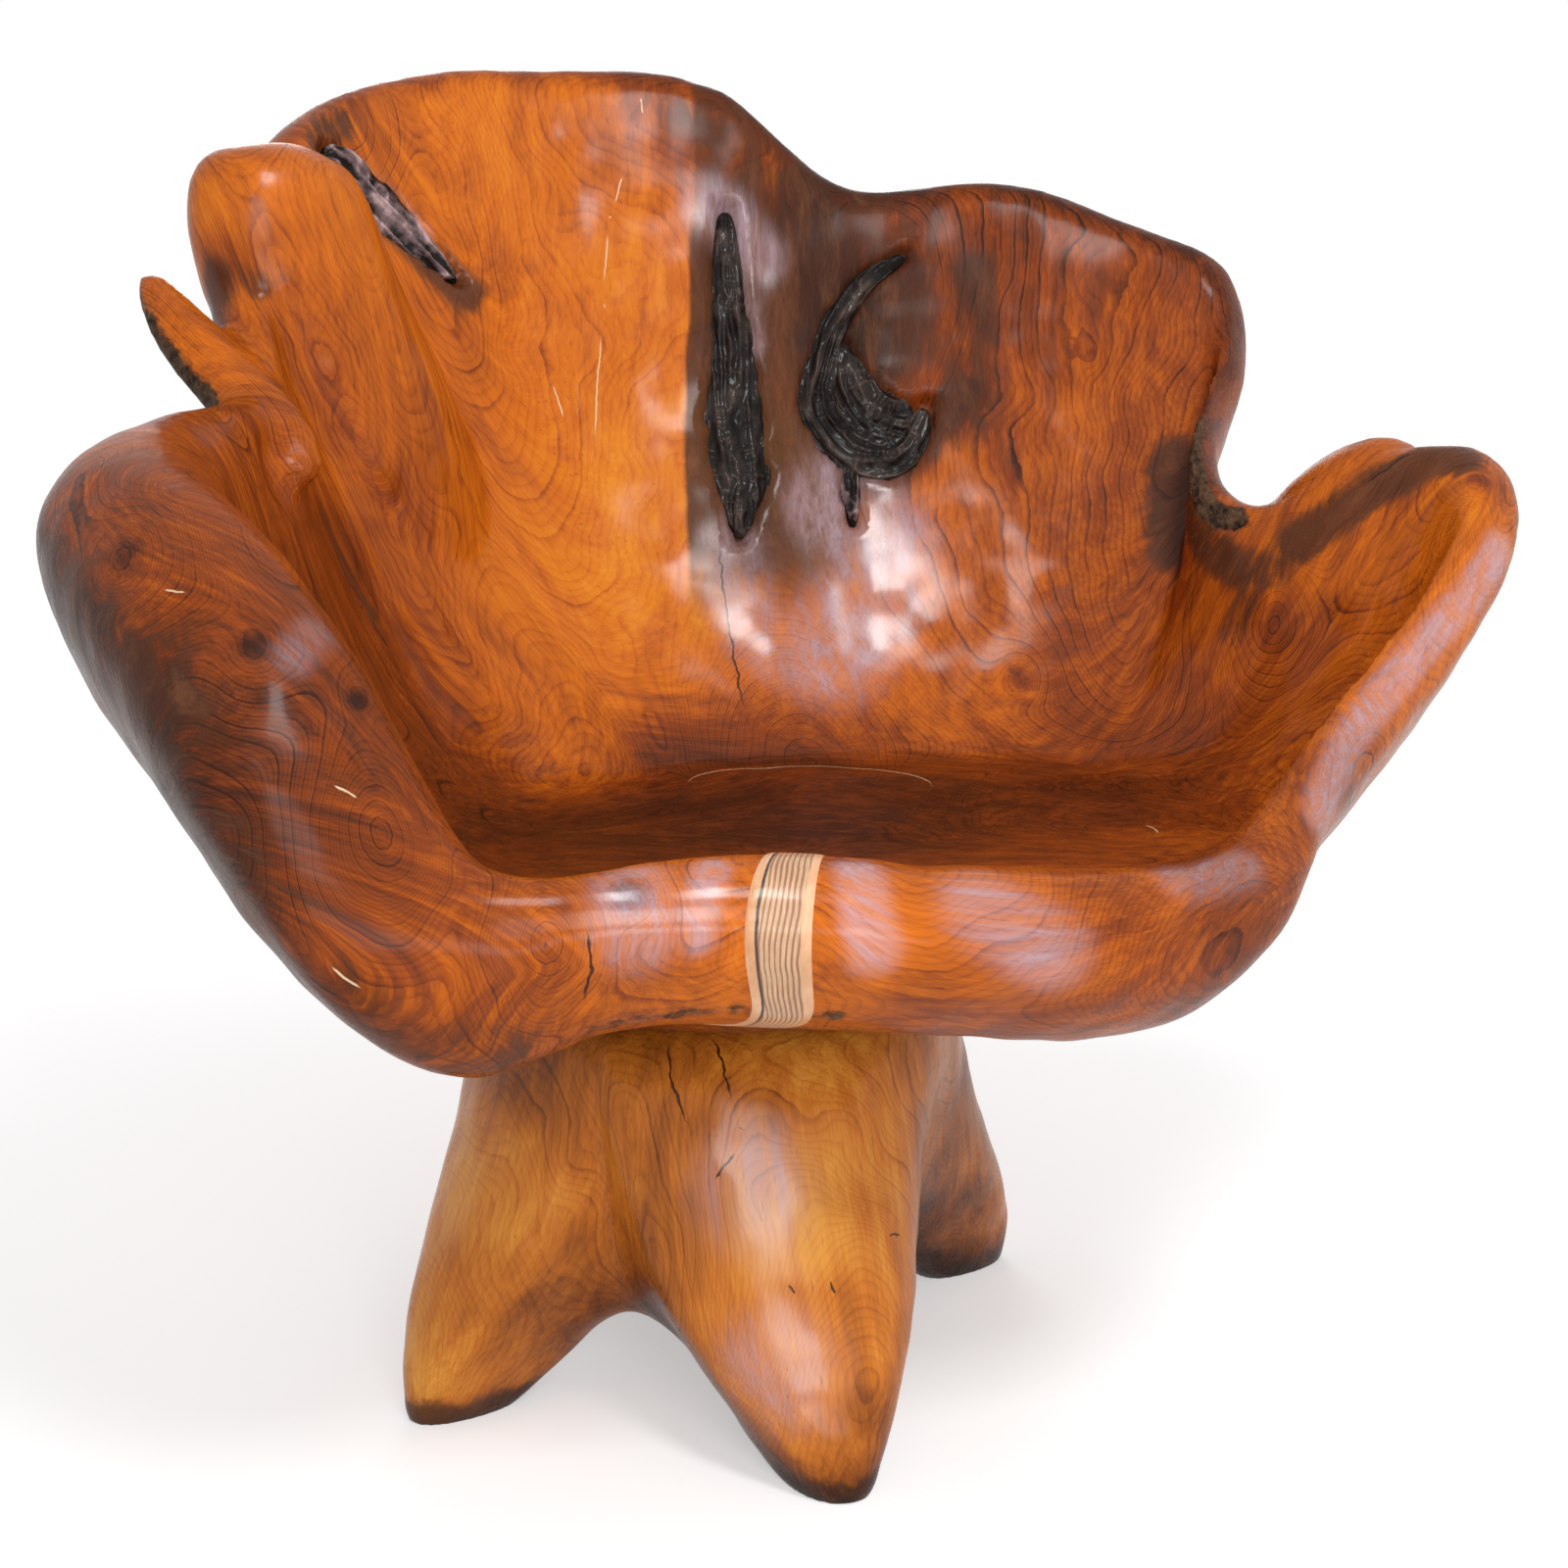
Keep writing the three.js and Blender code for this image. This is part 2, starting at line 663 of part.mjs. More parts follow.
// The lower plate's middle: its ball track and the collar whose lip is rolled over the upper plate's edge.
function lowerPlateSolid() {
  const ring = ringSolid([
    at(collarRadius, 0),
    at(trackOuter, 0),
    at(trackOuter, sheetThickness),
    ...trackPoints().reverse(),
    at(collarRadius + sheetThickness, sheetThickness),
    at(collarRadius + sheetThickness, lipBottom),
    at(lipEdge, lipBottom),
    at(lipEdge, lipTop),
    at(collarRadius, lipTop),
  ]);
  return ring.add(squareSheet(lowerScrewInset, 0, true));
}

// The upper plate's middle: its ball track and the pressed step that runs under the collar's lip.
function upperPlateSolid() {
  const stepTop = lipBottom - fitGap;
  const stepBottom = stepTop - sheetThickness;
  const stepRadius = lipEdge + 2 * fitGap;
  const sheetBottom = bearingHeight - sheetThickness;
  const track = trackPoints().map((point) => at(point.x, bearingHeight - point.y));
  const ring = ringSolid([
    at(collarRadius + sheetThickness + fitGap, stepBottom),
    at(stepRadius + sheetThickness, stepBottom),
    at(stepRadius + sheetThickness, sheetBottom),
    ...track,
    at(trackOuter, sheetBottom),
    at(trackOuter, bearingHeight),
    at(stepRadius, bearingHeight),
    at(stepRadius, stepTop),
    at(collarRadius + sheetThickness + fitGap, stepTop),
  ]);
  return ring.add(squareSheet(upperScrewInset, sheetBottom, false));
}

function ballPlaces() {
  return Array.from({ length: ballCount }, (_, i) => {
    const turn = (2 * Math.PI * i) / ballCount;
    return [ballPitchRadius * Math.cos(turn), ballPitchRadius * Math.sin(turn)];
  });
}

function cageSolid() {
  const bottom = ballHeight - cageThickness / 2;
  let cage = ringSolid([
    at(ballPitchRadius - cageHalfWidth, bottom),
    at(ballPitchRadius + cageHalfWidth, bottom),
    at(ballPitchRadius + cageHalfWidth, bottom + cageThickness),
    at(ballPitchRadius - cageHalfWidth, bottom + cageThickness),
  ]);
  for (const [x, y] of ballPlaces()) {
    const pocket = cylinderSolid(
      ballRadius + fitGap,
      cageThickness + 2 * overrun,
      x,
      y,
      bottom - overrun,
      screwSegments,
    );
    cage = cage.subtract(pocket);
  }
  return cage;
}

// A pan-head wood screw that points down, with the underside of its head at z = 0.
function screwGeometry() {
  const screw = new THREE.LatheGeometry(
    [
      at(0, -screwLength + 2 * fitGap),
      at(shankRadius, -screwLength + screwTip),
      at(shankRadius, 0),
      at(screwHeadRadius, 0),
      at(screwHeadRadius, screwHeadHeight - screwHeadDome),
      at(screwHeadRadius - screwHeadDome, screwHeadHeight),
      at(0, screwHeadHeight),
    ],
    screwSegments,
  );
  screw.rotateX(Math.PI / 2);
  return geometryOf(solidOf(screw));
}

const seatWood = new THREE.MeshStandardMaterial({ color: 0xa8541f, roughness: 0.28 });
const baseWood = new THREE.MeshStandardMaterial({ color: 0xb0793f, roughness: 0.3 });
const inlayWood = new THREE.MeshStandardMaterial({ color: 0xcda671, roughness: 0.35 });
const sheetSteel = new THREE.MeshStandardMaterial({ color: 0x54504a, roughness: 0.42, metalness: 1 });
const ballSteel = new THREE.MeshStandardMaterial({ color: 0xc9ccd0, roughness: 0.15, metalness: 1 });
const cageBrass = new THREE.MeshStandardMaterial({ color: 0xb0904c, roughness: 0.4, metalness: 1 });
const screwSteel = new THREE.MeshStandardMaterial({ color: 0xa3a19a, roughness: 0.35, metalness: 1 });

const chair = new THREE.Group();
const drawing = new THREE.Group();
drawing.position.set(drawingX, drawingY, 0);
chair.add(drawing);

function addPiece(name, geometry, material, parent) {
  const piece = new THREE.Mesh(geometry, material);
  piece.name = name;
  parent.add(piece);
  return piece;
}

addPiece("base_root", geometryOf(baseSolid()), baseWood, drawing);

const bearing = new THREE.Group();
bearing.position.set(swivelX, swivelY, baseHeight + fitGap / 2);
drawing.add(bearing);
addPiece("lower_plate", geometryOf(lowerPlateSolid()), sheetSteel, bearing);
addPiece("upper_plate", geometryOf(upperPlateSolid()), sheetSteel, bearing);
addPiece("bearing_cage", geometryOf(cageSolid()), cageBrass, bearing);
ballPlaces().forEach(([x, y], i) => {
  const ball = new THREE.SphereGeometry(ballRadius, ballSides, ballRows);
  const name = "ball_" + String(i + 1).padStart(2, "0");
  addPiece(name, geometryOf(solidOf(ball)), ballSteel, bearing).position.set(x, y, ballHeight);
});
squarePlaces(lowerScrewInset).forEach(([x, y], i) => {
  const screw = addPiece("lower_screw_" + (i + 1), screwGeometry(), screwSteel, bearing);
  screw.position.set(x, y, sheetThickness + fitGap);
});
squarePlaces(upperScrewInset).forEach(([x, y], i) => {
  const screw = addPiece("upper_screw_" + (i + 1), screwGeometry(), screwSteel, bearing);
  screw.position.set(x, y, bearingHeight - sheetThickness - fitGap);
  screw.rotation.x = Math.PI;
});

addPiece("seat_body", geometryOf(seatSolid()), seatWood, drawing);
addPiece("front_inlay", geometryOf(inlaySolid()), inlayWood, drawing);

export default chair;
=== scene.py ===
"""A carved root-wood lounge chair: a lacquered bowl seat that turns on a ball bearing over a root base."""
import json
import math

import bpy
import numpy as np
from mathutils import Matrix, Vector

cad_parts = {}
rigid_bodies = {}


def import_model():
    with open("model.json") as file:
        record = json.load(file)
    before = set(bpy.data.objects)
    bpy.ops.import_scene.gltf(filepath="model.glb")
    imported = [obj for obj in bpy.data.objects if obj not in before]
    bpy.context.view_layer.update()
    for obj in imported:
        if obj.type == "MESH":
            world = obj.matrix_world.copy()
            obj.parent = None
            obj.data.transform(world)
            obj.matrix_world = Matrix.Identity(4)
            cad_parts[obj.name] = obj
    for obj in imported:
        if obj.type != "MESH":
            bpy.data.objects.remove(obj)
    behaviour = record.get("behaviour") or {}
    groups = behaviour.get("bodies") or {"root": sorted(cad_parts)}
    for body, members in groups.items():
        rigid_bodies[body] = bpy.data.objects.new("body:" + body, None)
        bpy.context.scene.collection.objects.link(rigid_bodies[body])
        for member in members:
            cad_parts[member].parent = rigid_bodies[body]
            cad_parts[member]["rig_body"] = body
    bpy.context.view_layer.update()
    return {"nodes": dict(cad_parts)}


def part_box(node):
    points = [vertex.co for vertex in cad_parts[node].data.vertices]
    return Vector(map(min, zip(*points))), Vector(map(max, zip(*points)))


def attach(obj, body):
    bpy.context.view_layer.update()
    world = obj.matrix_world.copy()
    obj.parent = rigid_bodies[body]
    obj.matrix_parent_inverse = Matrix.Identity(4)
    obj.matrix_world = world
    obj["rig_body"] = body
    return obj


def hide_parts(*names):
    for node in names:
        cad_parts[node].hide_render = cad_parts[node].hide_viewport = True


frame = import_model()

bl_info = {
    "name": "Root-wood swivel chair",
    "version": (1, 0, 0),
    "blender": (4, 5, 0),
    "location": "3D View > Sidebar > Chair",
    "description": "Makes a carved and lacquered swivel chair around its packed model",
    "category": "Object",
}

BALL_RADIUS = 0.004
BALL_GRID = (28, 17)
# Large numbers that scramble a cube's corner and the seed into noise
HASH_CORNER = (73856093, 19349663, 83492791)
HASH_SEED = 2654435761
HASH_MIX = 1274126177

# The stage, in metres: how much the floor glows near the chair and far from it, and between which distances that
# changes; half the floor's side; the width of the camera's sensor in millimetres
FLOOR_LIFT = 0.42
FAR_FLOOR_LIFT = 0.25
FLOOR_FADE = (0.8, 3.2)
FLOOR_REACH = 30
SENSOR_WIDTH = 36
# Lamps: where each stands, the point that it faces and its two sides
LAMPS = {
    "overhead": ((0.26, -1.4, 2.02), (0.08, 0.22, 0.57), (0.46, 0.5)),
    "front": ((-0.07, -2.1, 1.2), (-0.05, -0.2, 0.4), (0.8, 0.6)),
    "back": ((0.1, 2.9, 1.5), (0.0, 0.2, 0.5), (1.6, 1.2)),
    "low": ((0.25, -2.7, 0.5), (0.0, -0.3, 0.4), (1.4, 0.4)),
}

# The seat, in metres. Shares are of its half width, its half depth and its height.
SEAT_SCALE = np.array([0.52, 0.36, 1.0])
SEAT_GRID = (640, 300)
WALL_THICKNESS = 0.1
DRAWING_SHIFT = np.array([-0.0035, 0.012, 0.0])
HOLLOW_POLE = np.array([0.03, -0.09, 0.425])
HOLLOW_HALF_WIDTH = 0.275
HOLLOW_HALF_DEPTH = 0.22
HOLLOW_CORNER_POWER = 2.8
HOLLOW_LEAST_RUN = 0.03
HOLLOW_BACK_RISE = 0.02
HOLLOW_MOST_BULGE = 0.05
SAWN_MIDDLE = np.array([-0.06, 0.035, 0.3115])
SAWN_HALF_WIDTH = 0.3
SAWN_HALF_DEPTH = 0.235
BELLY_SWELL = 0.004
BELLY_SHARE = 0.5
BELLY_LEAST_WALL = 0.062
BULGE_SHARE = 0.25

# Inner edge of the rim from the middle of the front lip round by the left arm: shares of the half width,
# the half depth, the height and the wall's thickness.
RIM_SHARES = (
    (-0.15, -0.83, 0.46, 0.86), (-0.27, -0.85, 0.46, 0.85), (-0.4, -0.9, 0.46, 0.92), (-0.505, -0.92, 0.47, 1.2),
    (-0.555, -0.9, 0.51, 1.38), (-0.59, -0.82, 0.57, 1.52), (-0.65, -0.72, 0.62, 1.45), (-0.72, -0.6, 0.66, 1.4),
    (-0.8, -0.44, 0.69, 1.36), (-0.8, -0.26, 0.7, 1.2), (-0.76, -0.1, 0.72, 0.64), (-0.715, 0.07, 0.725, 0.5),
    (-0.745, 0.2, 0.8, 0.52), (-0.77, 0.32, 0.87, 0.55), (-0.69, 0.46, 0.92, 0.55), (-0.63, 0.61, 0.955, 0.55),
    (-0.5, 0.73, 0.98, 0.58), (-0.31, 0.81, 0.985, 0.6), (-0.16, 0.83, 0.99, 0.6), (-0.03, 0.83, 0.98, 0.6),
    (0.05, 0.82, 0.935, 0.6), (0.16, 0.81, 0.885, 0.6), (0.3, 0.79, 0.9, 0.6), (0.45, 0.74, 0.9, 0.6),
    (0.59, 0.68, 0.865, 0.6), (0.72, 0.59, 0.845, 0.6), (0.755, 0.53, 0.79, 0.5), (0.67, 0.415, 0.73, 0.5),
    (0.62, 0.315, 0.68, 0.5), (0.635, 0.24, 0.64, 0.55), (0.695, 0.17, 0.63, 0.55), (0.77, 0.1, 0.66, 0.5),
    (0.85, 0.02, 0.69, 0.52), (0.935, -0.12, 0.695, 0.66), (0.9, -0.25, 0.64, 0.6), (0.745, -0.35, 0.56, 0.5),
    (0.605, -0.44, 0.5, 0.5), (0.51, -0.57, 0.46, 0.56), (0.42, -0.68, 0.44, 0.94), (0.27, -0.76, 0.44, 1.05),
    (0.05, -0.81, 0.45, 0.92),
)
FLOOR_REACH_SHARES = (0, 0.5, 0.9, 1)
WALL_SHARES = ((0.25, 0.8), (0.65, 0.7))
RIM_PROFILE_SHARES = ((-0.08, 0), (0.3, 0.12), (0.44, 0.5), (0.3, 0.88), (-0.1, 1.03), (-0.6, 1.1))
SAWN_REACH_SHARES = (1, 0.9, 0.5, 0)

# The lobe on the left shoulder, the finger under it and the ridge by the right arm: centre lines in seat shares
LOBE = {
    "line": (
        (-0.49, 0.5, 0.55), (-0.56, 0.48, 0.645), (-0.62, 0.445, 0.715), (-0.68, 0.405, 0.78), (-0.722, 0.36, 0.84),
        (-0.744, 0.34, 0.89), (-0.748, 0.335, 0.918),
    ),
    "half_width": 0.075,
    "half_thickness": 0.05,
    "taper": 0,
    "broad_way": (1, 0.5, 0.45),
}
FINGER = {
    "line": (
        (-0.69, -0.014, 0.673), (-0.745, 0.056, 0.71), (-0.802, 0.111, 0.742), (-0.856, 0.153, 0.774),
        (-0.891, 0.181, 0.8), (-0.913, 0.194, 0.821),
    ),
    "half_width": 0.033,
    "half_thickness": 0.029,
    "taper": 0.5,
    "broad_way": (1, 0.2, 0.8),
}
RIDGE = {
    "line": ((0.74, 0.27, 0.55), (0.77, 0.23, 0.62), (0.83, 0.17, 0.662), (0.88, 0.11, 0.68), (0.93, 0.03, 0.68)),
    "half_width": 0.03,
    "half_thickness": 0.025,
    "taper": 0,
    "broad_way": (0.6, 1, 0),
}
LIMBS = (LOBE, FINGER, RIDGE)
ROUND_END_POWER = 2.6
LIMB_GRID = (40, 48)

# The base, in metres: its axis is the swivel's
SWIVEL = np.array([-0.07, 0.04, 0.0])
BASE_GRID = (420, 200)
BASE_HEIGHT = 0.3
BASE_TOP_RADIUS = 0.17
LEG_REACH = 0.28
LEGS = (
    {"azimuth": -153, "reach_share": 0.985, "spreads": (1, 1), "crotch_share": 0.4, "crotch_drop": 1.2},
    {"azimuth": -80, "reach_share": 1.075, "spreads": (1.5, 1), "crotch_share": 0.5, "crotch_drop": 1},
    {"azimuth": 21.5, "reach_share": 1.005, "spreads": (1, 1), "crotch_share": 0.5, "crotch_drop": 1},
    {"azimuth": 113, "reach_share": 0.98, "spreads": (1, 1), "crotch_share": 0.5, "crotch_drop": 1},
)
# Rows down the base: a leg's reach, a leg's height, the crotch's reach and height, the share of the top's
# radius and the angle between a leg's middle and its sides in degrees
BASE_ROW_SHARES = (
    (0, 1, 0.5, 1, 0.5, 30), (0, 1, 0.9, 1, 0.9, 30), (0, 1, 1, 1, 1, 30), (0.2, 0.94, 1.1, 0.94, 1, 29),
    (0.38, 0.76, 1.1, 0.8, 1, 26), (0.68, 0.5, 0.97, 0.64, 1, 22), (1.02, 0.27, 0.86, 0.53, 1, 18),
    (1.2, 0.06, 0.76, 0.46, 1, 11), (1.1, -0.12, 0.64, 0.44, 1, 8), (0.5, -0.12, 0.52, 0.44, 1, 10),
    (-0.2, 0.12, 0.42, 0.46, 1, 18), (-0.9, 0.38, 0.3, 0.47, 1, 26),
)
ARCH_HEIGHT_SHARE = 0.48
LEG_SIDE_SHARE = 0.25


def unit(vectors):
    """Vectors brought to length one."""
    return vectors / np.linalg.norm(vectors, axis=-1, keepdims=True)


def spline_weights(parameter, count, closed):
    """Weights of the controls of a uniform cubic B-spline, one row for each parameter.

    With f the place inside a span, the four neighbours weigh (1 - f)^3 / 6, (3 f^3 - 6 f^2 + 4) / 6,
    (-3 f^3 + 3 f^2 + 3 f + 1) / 6 and f^3 / 6. An open spline repeats its end controls three times.
    """
    spans = count if closed else count + 1
    place = np.mod(parameter, 1.0) * spans if closed else np.clip(parameter, 0, 1) * spans
    span = np.minimum(np.floor(place), spans - 1).astype(int)
    f = place - span
    terms = (
        (1 - f) ** 3 / 6,
        (3 * f**3 - 6 * f**2 + 4) / 6,
        (-3 * f**3 + 3 * f**2 + 3 * f + 1) / 6,
        f**3 / 6,
    )
    weights = np.zeros((len(parameter), count))
    rows = np.arange(len(parameter))
    for k, term in enumerate(terms):
        control = (span + k - 1) % count if closed else np.clip(span + k - 2, 0, count - 1)
        np.add.at(weights, (rows, control), term)
    return weights


def net_surface(net, around, along):
    """Points on the skin of a control net: the net's weights around times its weights along."""
    wide = spline_weights(around, net.shape[0], True)
    deep = spline_weights(along, net.shape[1], False)
    return np.einsum("us,vr,srk->uvk", wide, deep, net)


def skin_grid(net, counts):
    """A net's whole skin as rings: so many points around and so many along."""
    return net_surface(net, np.linspace(0, 1, counts[0], endpoint=False), np.linspace(0, 1, counts[1]))


def net_places(net, places):
    """Points at single places of the net, each given around the rim and along the profile."""
    around, along = np.asarray(places, float)[:, :2].T
    wide = spline_weights(around, net.shape[0], True)
    deep = spline_weights(along, net.shape[1], False)
    return np.einsum("ns,nr,srk->nk", wide, deep, net)


def net_normals(net, places):
    """Outward directions at single places, from the cross product of two small steps."""
    places = np.asarray(places, float)[:, :2]
    step = 1e-3
    here = net_places(net, places)
    aside = net_places(net, places + (step, 0)) - here
    onward = net_places(net, places + (0, step)) - here
    return unit(np.cross(aside, onward))


def seat_net():
    """Controls of the seat's skin, station by station around the rim and row by row along the profile.

    A station's rows run over the hollow's floor to its foot, up the wall with a bulge, round the rim, and
    down the outside to the sawn flat.
    """
    shares = np.array(RIM_SHARES)
    edge = shares[:, :3] * SEAT_SCALE
    thickness = shares[:, 3:] * WALL_THICKNESS
    outward = (edge - HOLLOW_POLE) * (1, 1, 0)
    run = np.linalg.norm(outward, axis=1)
    outward /= run[:, None]
    power = HOLLOW_CORNER_POWER
    corner = (
        np.abs(outward[:, 0] / HOLLOW_HALF_WIDTH) ** power + np.abs(outward[:, 1] / HOLLOW_HALF_DEPTH) ** power
    ) ** (-1 / power)
    foot = HOLLOW_POLE + outward * np.minimum(corner, run - HOLLOW_LEAST_RUN)[:, None]
    foot[:, 2] += HOLLOW_BACK_RISE * np.maximum(outward[:, 1], 0)
    climb = edge - foot
    height = np.linalg.norm(climb, axis=1)[:, None]
    climb /= height
    outside = outward * climb[:, 2:] - np.array([0, 0, 1]) * np.sum(climb * outward, axis=1)[:, None]
    bulge = np.minimum(BULGE_SHARE * height, HOLLOW_MOST_BULGE)
    rows = [HOLLOW_POLE + (foot - HOLLOW_POLE) * share for share in FLOOR_REACH_SHARES]
    rows += [foot + (edge - foot) * rise + outside * bulge * swell for rise, swell in WALL_SHARES]
    rows += [edge + climb * thickness * on + outside * thickness * over for on, over in RIM_PROFILE_SHARES]
    sawn = SAWN_MIDDLE + outward * (SAWN_HALF_WIDTH, SAWN_HALF_DEPTH, 0)
    below = unit(outward - np.array([0, 0, 1]))
    outer_edge = edge + outside * thickness
    belly = outer_edge + (sawn - outer_edge) * BELLY_SHARE + below * BELLY_SWELL
    hollow = [rows[len(FLOOR_REACH_SHARES) - 1], rows[len(FLOOR_REACH_SHARES)]]
    wall = np.min([np.sum((belly - inner) * below, axis=1) for inner in hollow], axis=0)
    rows.append(belly + below * np.maximum(BELLY_LEAST_WALL - wall, 0)[:, None])
    rows += [SAWN_MIDDLE + (sawn - SAWN_MIDDLE) * share for share in SAWN_REACH_SHARES]
    return np.stack(rows, axis=1) + DRAWING_SHIFT


def base_net():
    """Controls of the base's skin: three stations for each leg and one for the crotch after it.

    Rows run from the middle of the top down the outside to the sole and up into the arch.
    """
    shares = np.array(BASE_ROW_SHARES, float)
    leg, leg_high, crotch, crotch_high, top_share, spread = shares.T
    stations = []
    for i, one in enumerate(LEGS):
        gap = (LEGS[(i + 1) % len(LEGS)]["azimuth"] - one["azimuth"]) % 360
        reach = one["reach_share"] * LEG_REACH
        leg_radius = top_share * BASE_TOP_RADIUS + leg * (reach - BASE_TOP_RADIUS)
        side_radius = leg_radius + LEG_SIDE_SHARE * (crotch * BASE_TOP_RADIUS - leg_radius)
        side_high = leg_high + LEG_SIDE_SHARE * (crotch_high - leg_high)
        before, after = one["spreads"]
        stations.append((side_radius, side_high, one["azimuth"] - before * spread))
        stations.append((leg_radius, leg_high, np.full(len(shares), one["azimuth"])))
        stations.append((side_radius, side_high, one["azimuth"] + after * spread))
        middle = np.full(len(shares), one["azimuth"] + gap * one["crotch_share"])
        stations.append((crotch * BASE_TOP_RADIUS, 1 - one["crotch_drop"] * (1 - crotch_high), middle))
    rows = []
    for radius, high, azimuth in stations:
        turn = np.radians(azimuth)
        ring = np.stack([radius * np.cos(turn), radius * np.sin(turn), high * BASE_HEIGHT], axis=1)
        top = np.array([[0, 0, BASE_HEIGHT]])
        arch = np.array([[0, 0, ARCH_HEIGHT_SHARE * BASE_HEIGHT]])
        rows.append(np.concatenate([top, ring, arch]))
    return np.stack(rows) + SWIVEL + DRAWING_SHIFT


def smooth_line(points, shares):
    """A line through given points: cubic Hermite spans whose slopes are half the chord over a point."""
    points = np.asarray(points, float)
    ends = np.concatenate([2 * points[:1] - points[1:2], points, 2 * points[-1:] - points[-2:-1]])
    place = np.clip(shares, 0, 1) * (len(points) - 1)
    span = np.minimum(place.astype(int), len(points) - 2)
    f = (place - span)[:, None]
    before, start, end, after = (ends[span + k] for k in range(4))
    return (
        start
        + 0.5 * f * (end - before)
        + f**2 * (before - 2.5 * start + 2 * end - 0.5 * after)
        + f**3 * (1.5 * (start - end) + 0.5 * (after - before))
    )


def limb_rings(line, half_width, half_thickness, taper, broad_way):
    """A limb of the seat with rounded ends, made of oval sections along a line that is given in seat shares.

    A section is centre + broad cos(turn) girth width + narrow sin(turn) girth thickness, and its girth is
    (1 - |2 s - 1|^p)^(1/p) (1 - taper s) at the share s along the line.
    """
    turns, steps = LIMB_GRID
    share = (1 - np.cos(np.linspace(0, math.pi, steps))) / 2
    girth = np.clip(1 - np.abs(2 * share - 1) ** ROUND_END_POWER, 0, 1) ** (1 / ROUND_END_POWER)
    girth *= 1 - taper * share
    middle = smooth_line(np.array(line) * SEAT_SCALE + DRAWING_SHIFT, share)
    forward = unit(np.gradient(middle, axis=0))
    narrow = unit(np.cross(forward, np.asarray(broad_way, float)))
    broad = np.cross(narrow, forward)
    turn = np.linspace(0, 2 * math.pi, turns, endpoint=False)[:, None, None]
    wide = np.cos(turn) * broad * (girth * half_width)[:, None]
    thick = np.sin(turn) * narrow * (girth * half_thickness)[:, None]
    return middle + wide + thick


def ring_shell(rings):
    """Vertices and faces of a closed shell: a grid around and along whose first and last rows are poles."""
    count, rows = rings.shape[:2]
    inner = rings[:, 1:-1].transpose(1, 0, 2).reshape(-1, 3)
    points = np.concatenate([rings[:1, 0], inner, rings[:1, -1]])
    i = np.arange(count)
    after = (i + 1) % count
    lows = 1 + np.arange(rows - 3)[:, None] * count
    quads = np.stack([lows + i, lows + count + i, lows + count + after, lows + after], axis=-1).reshape(-1, 4)
    last = len(points) - 1
    end = last - count
    start_cap = np.stack([np.zeros_like(i), 1 + i, 1 + after], axis=-1)
    end_cap = np.stack([end + i, np.full_like(i, last), end + after], axis=-1)
    return points, quads, np.concatenate([start_cap, end_cap])


def mesh_of(name, *shells):
    """One smooth mesh from shells, each of points, quads and triangles."""
    mesh = bpy.data.meshes.new(name)
    points, loops, totals = [], [], []
    offset = 0
    for shell_points, *kinds in shells:
        for faces in kinds:
            loops.append((faces + offset).ravel())
            totals.append(np.full(len(faces), faces.shape[1]))
        points.append(shell_points)
        offset += len(shell_points)
    points, loops, totals = (np.concatenate(part) for part in (points, loops, totals))
    starts = np.concatenate([[0], np.cumsum(totals)[:-1]])
    mesh.vertices.add(len(points))
    mesh.vertices.foreach_set("co", points.ravel())
    mesh.loops.add(len(loops))
    mesh.loops.foreach_set("vertex_index", loops.astype(np.int32))
    mesh.polygons.add(len(starts))
    mesh.polygons.foreach_set("loop_start", starts.astype(np.int32))
    mesh.update(calc_edges=True)
    mesh.validate()
    mesh.shade_smooth()
    return mesh


def outward_shell(rings):
    """The shell of a ring grid, turned inside out where its volume comes out negative."""
    points, quads, triangles = ring_shell(rings)
    corners = np.concatenate([triangles, quads[:, :3], quads[:, [0, 2, 3]]])
    a, b, c = (points[corners[:, k]] - points.mean(axis=0) for k in range(3))
    if np.sum(a * np.cross(b, c)) < 0:
        quads, triangles = quads[:, ::-1], triangles[:, ::-1]
    return points, quads, triangles


def add_object(name, data):
    """A new object in the scene."""
    one = bpy.data.objects.new(name, data)
    bpy.context.scene.collection.objects.link(one)
    return one


def add_piece(mesh, body, slot, material, *replaced):
    """A finished piece: its object at the origin, its place in its mesh."""
    piece = add_object(mesh.name, mesh)
    mesh.materials.clear()
    mesh.materials.append(material)
    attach(piece, body)
    if replaced:
        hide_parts(*replaced)


def fused(name, shells, voxel, rounds):
    """Shells that run into each other made one skin: a voxel remesh, then rounds of smoothing."""
    draft = add_object(name + "_draft", mesh_of(name + "_draft", *shells))
    remesh = draft.modifiers.new("fuse", "REMESH")
    remesh.mode = "VOXEL"
    remesh.voxel_size = voxel
    remesh.use_smooth_shade = True
    smooth = draft.modifiers.new("smooth", "SMOOTH")
    smooth.factor = 0.5
    smooth.iterations = rounds
    depsgraph = bpy.context.evaluated_depsgraph_get()
    mesh = bpy.data.meshes.new_from_object(draft.evaluated_get(depsgraph))
    mesh.name = name
    bpy.data.objects.remove(draft)
    mesh.shade_smooth()
    return mesh


def vertex_vectors(mesh, name):
    """All vertex positions ("co") or vertex normals ("normal") of a mesh as one array."""
    vectors = np.empty(len(mesh.vertices) * 3)
    mesh.vertices.foreach_get(name, vectors)
    return vectors.reshape(-1, 3)


def place(mesh, points):
    """Puts vertices at new positions."""
    mesh.vertices.foreach_set("co", points.ravel())
    mesh.update()


def keep(mesh, **fields):
    """Stores a number or a vector for each vertex under the names that the materials' nodes read."""
    for name, values in fields.items():
        values = np.asarray(values, np.float32)
        kind, key = ("FLOAT", "value") if values.ndim == 1 else ("FLOAT_VECTOR", "vector")
        mesh.attributes.new(name, kind, "POINT").data.foreach_set(key, values.ravel())


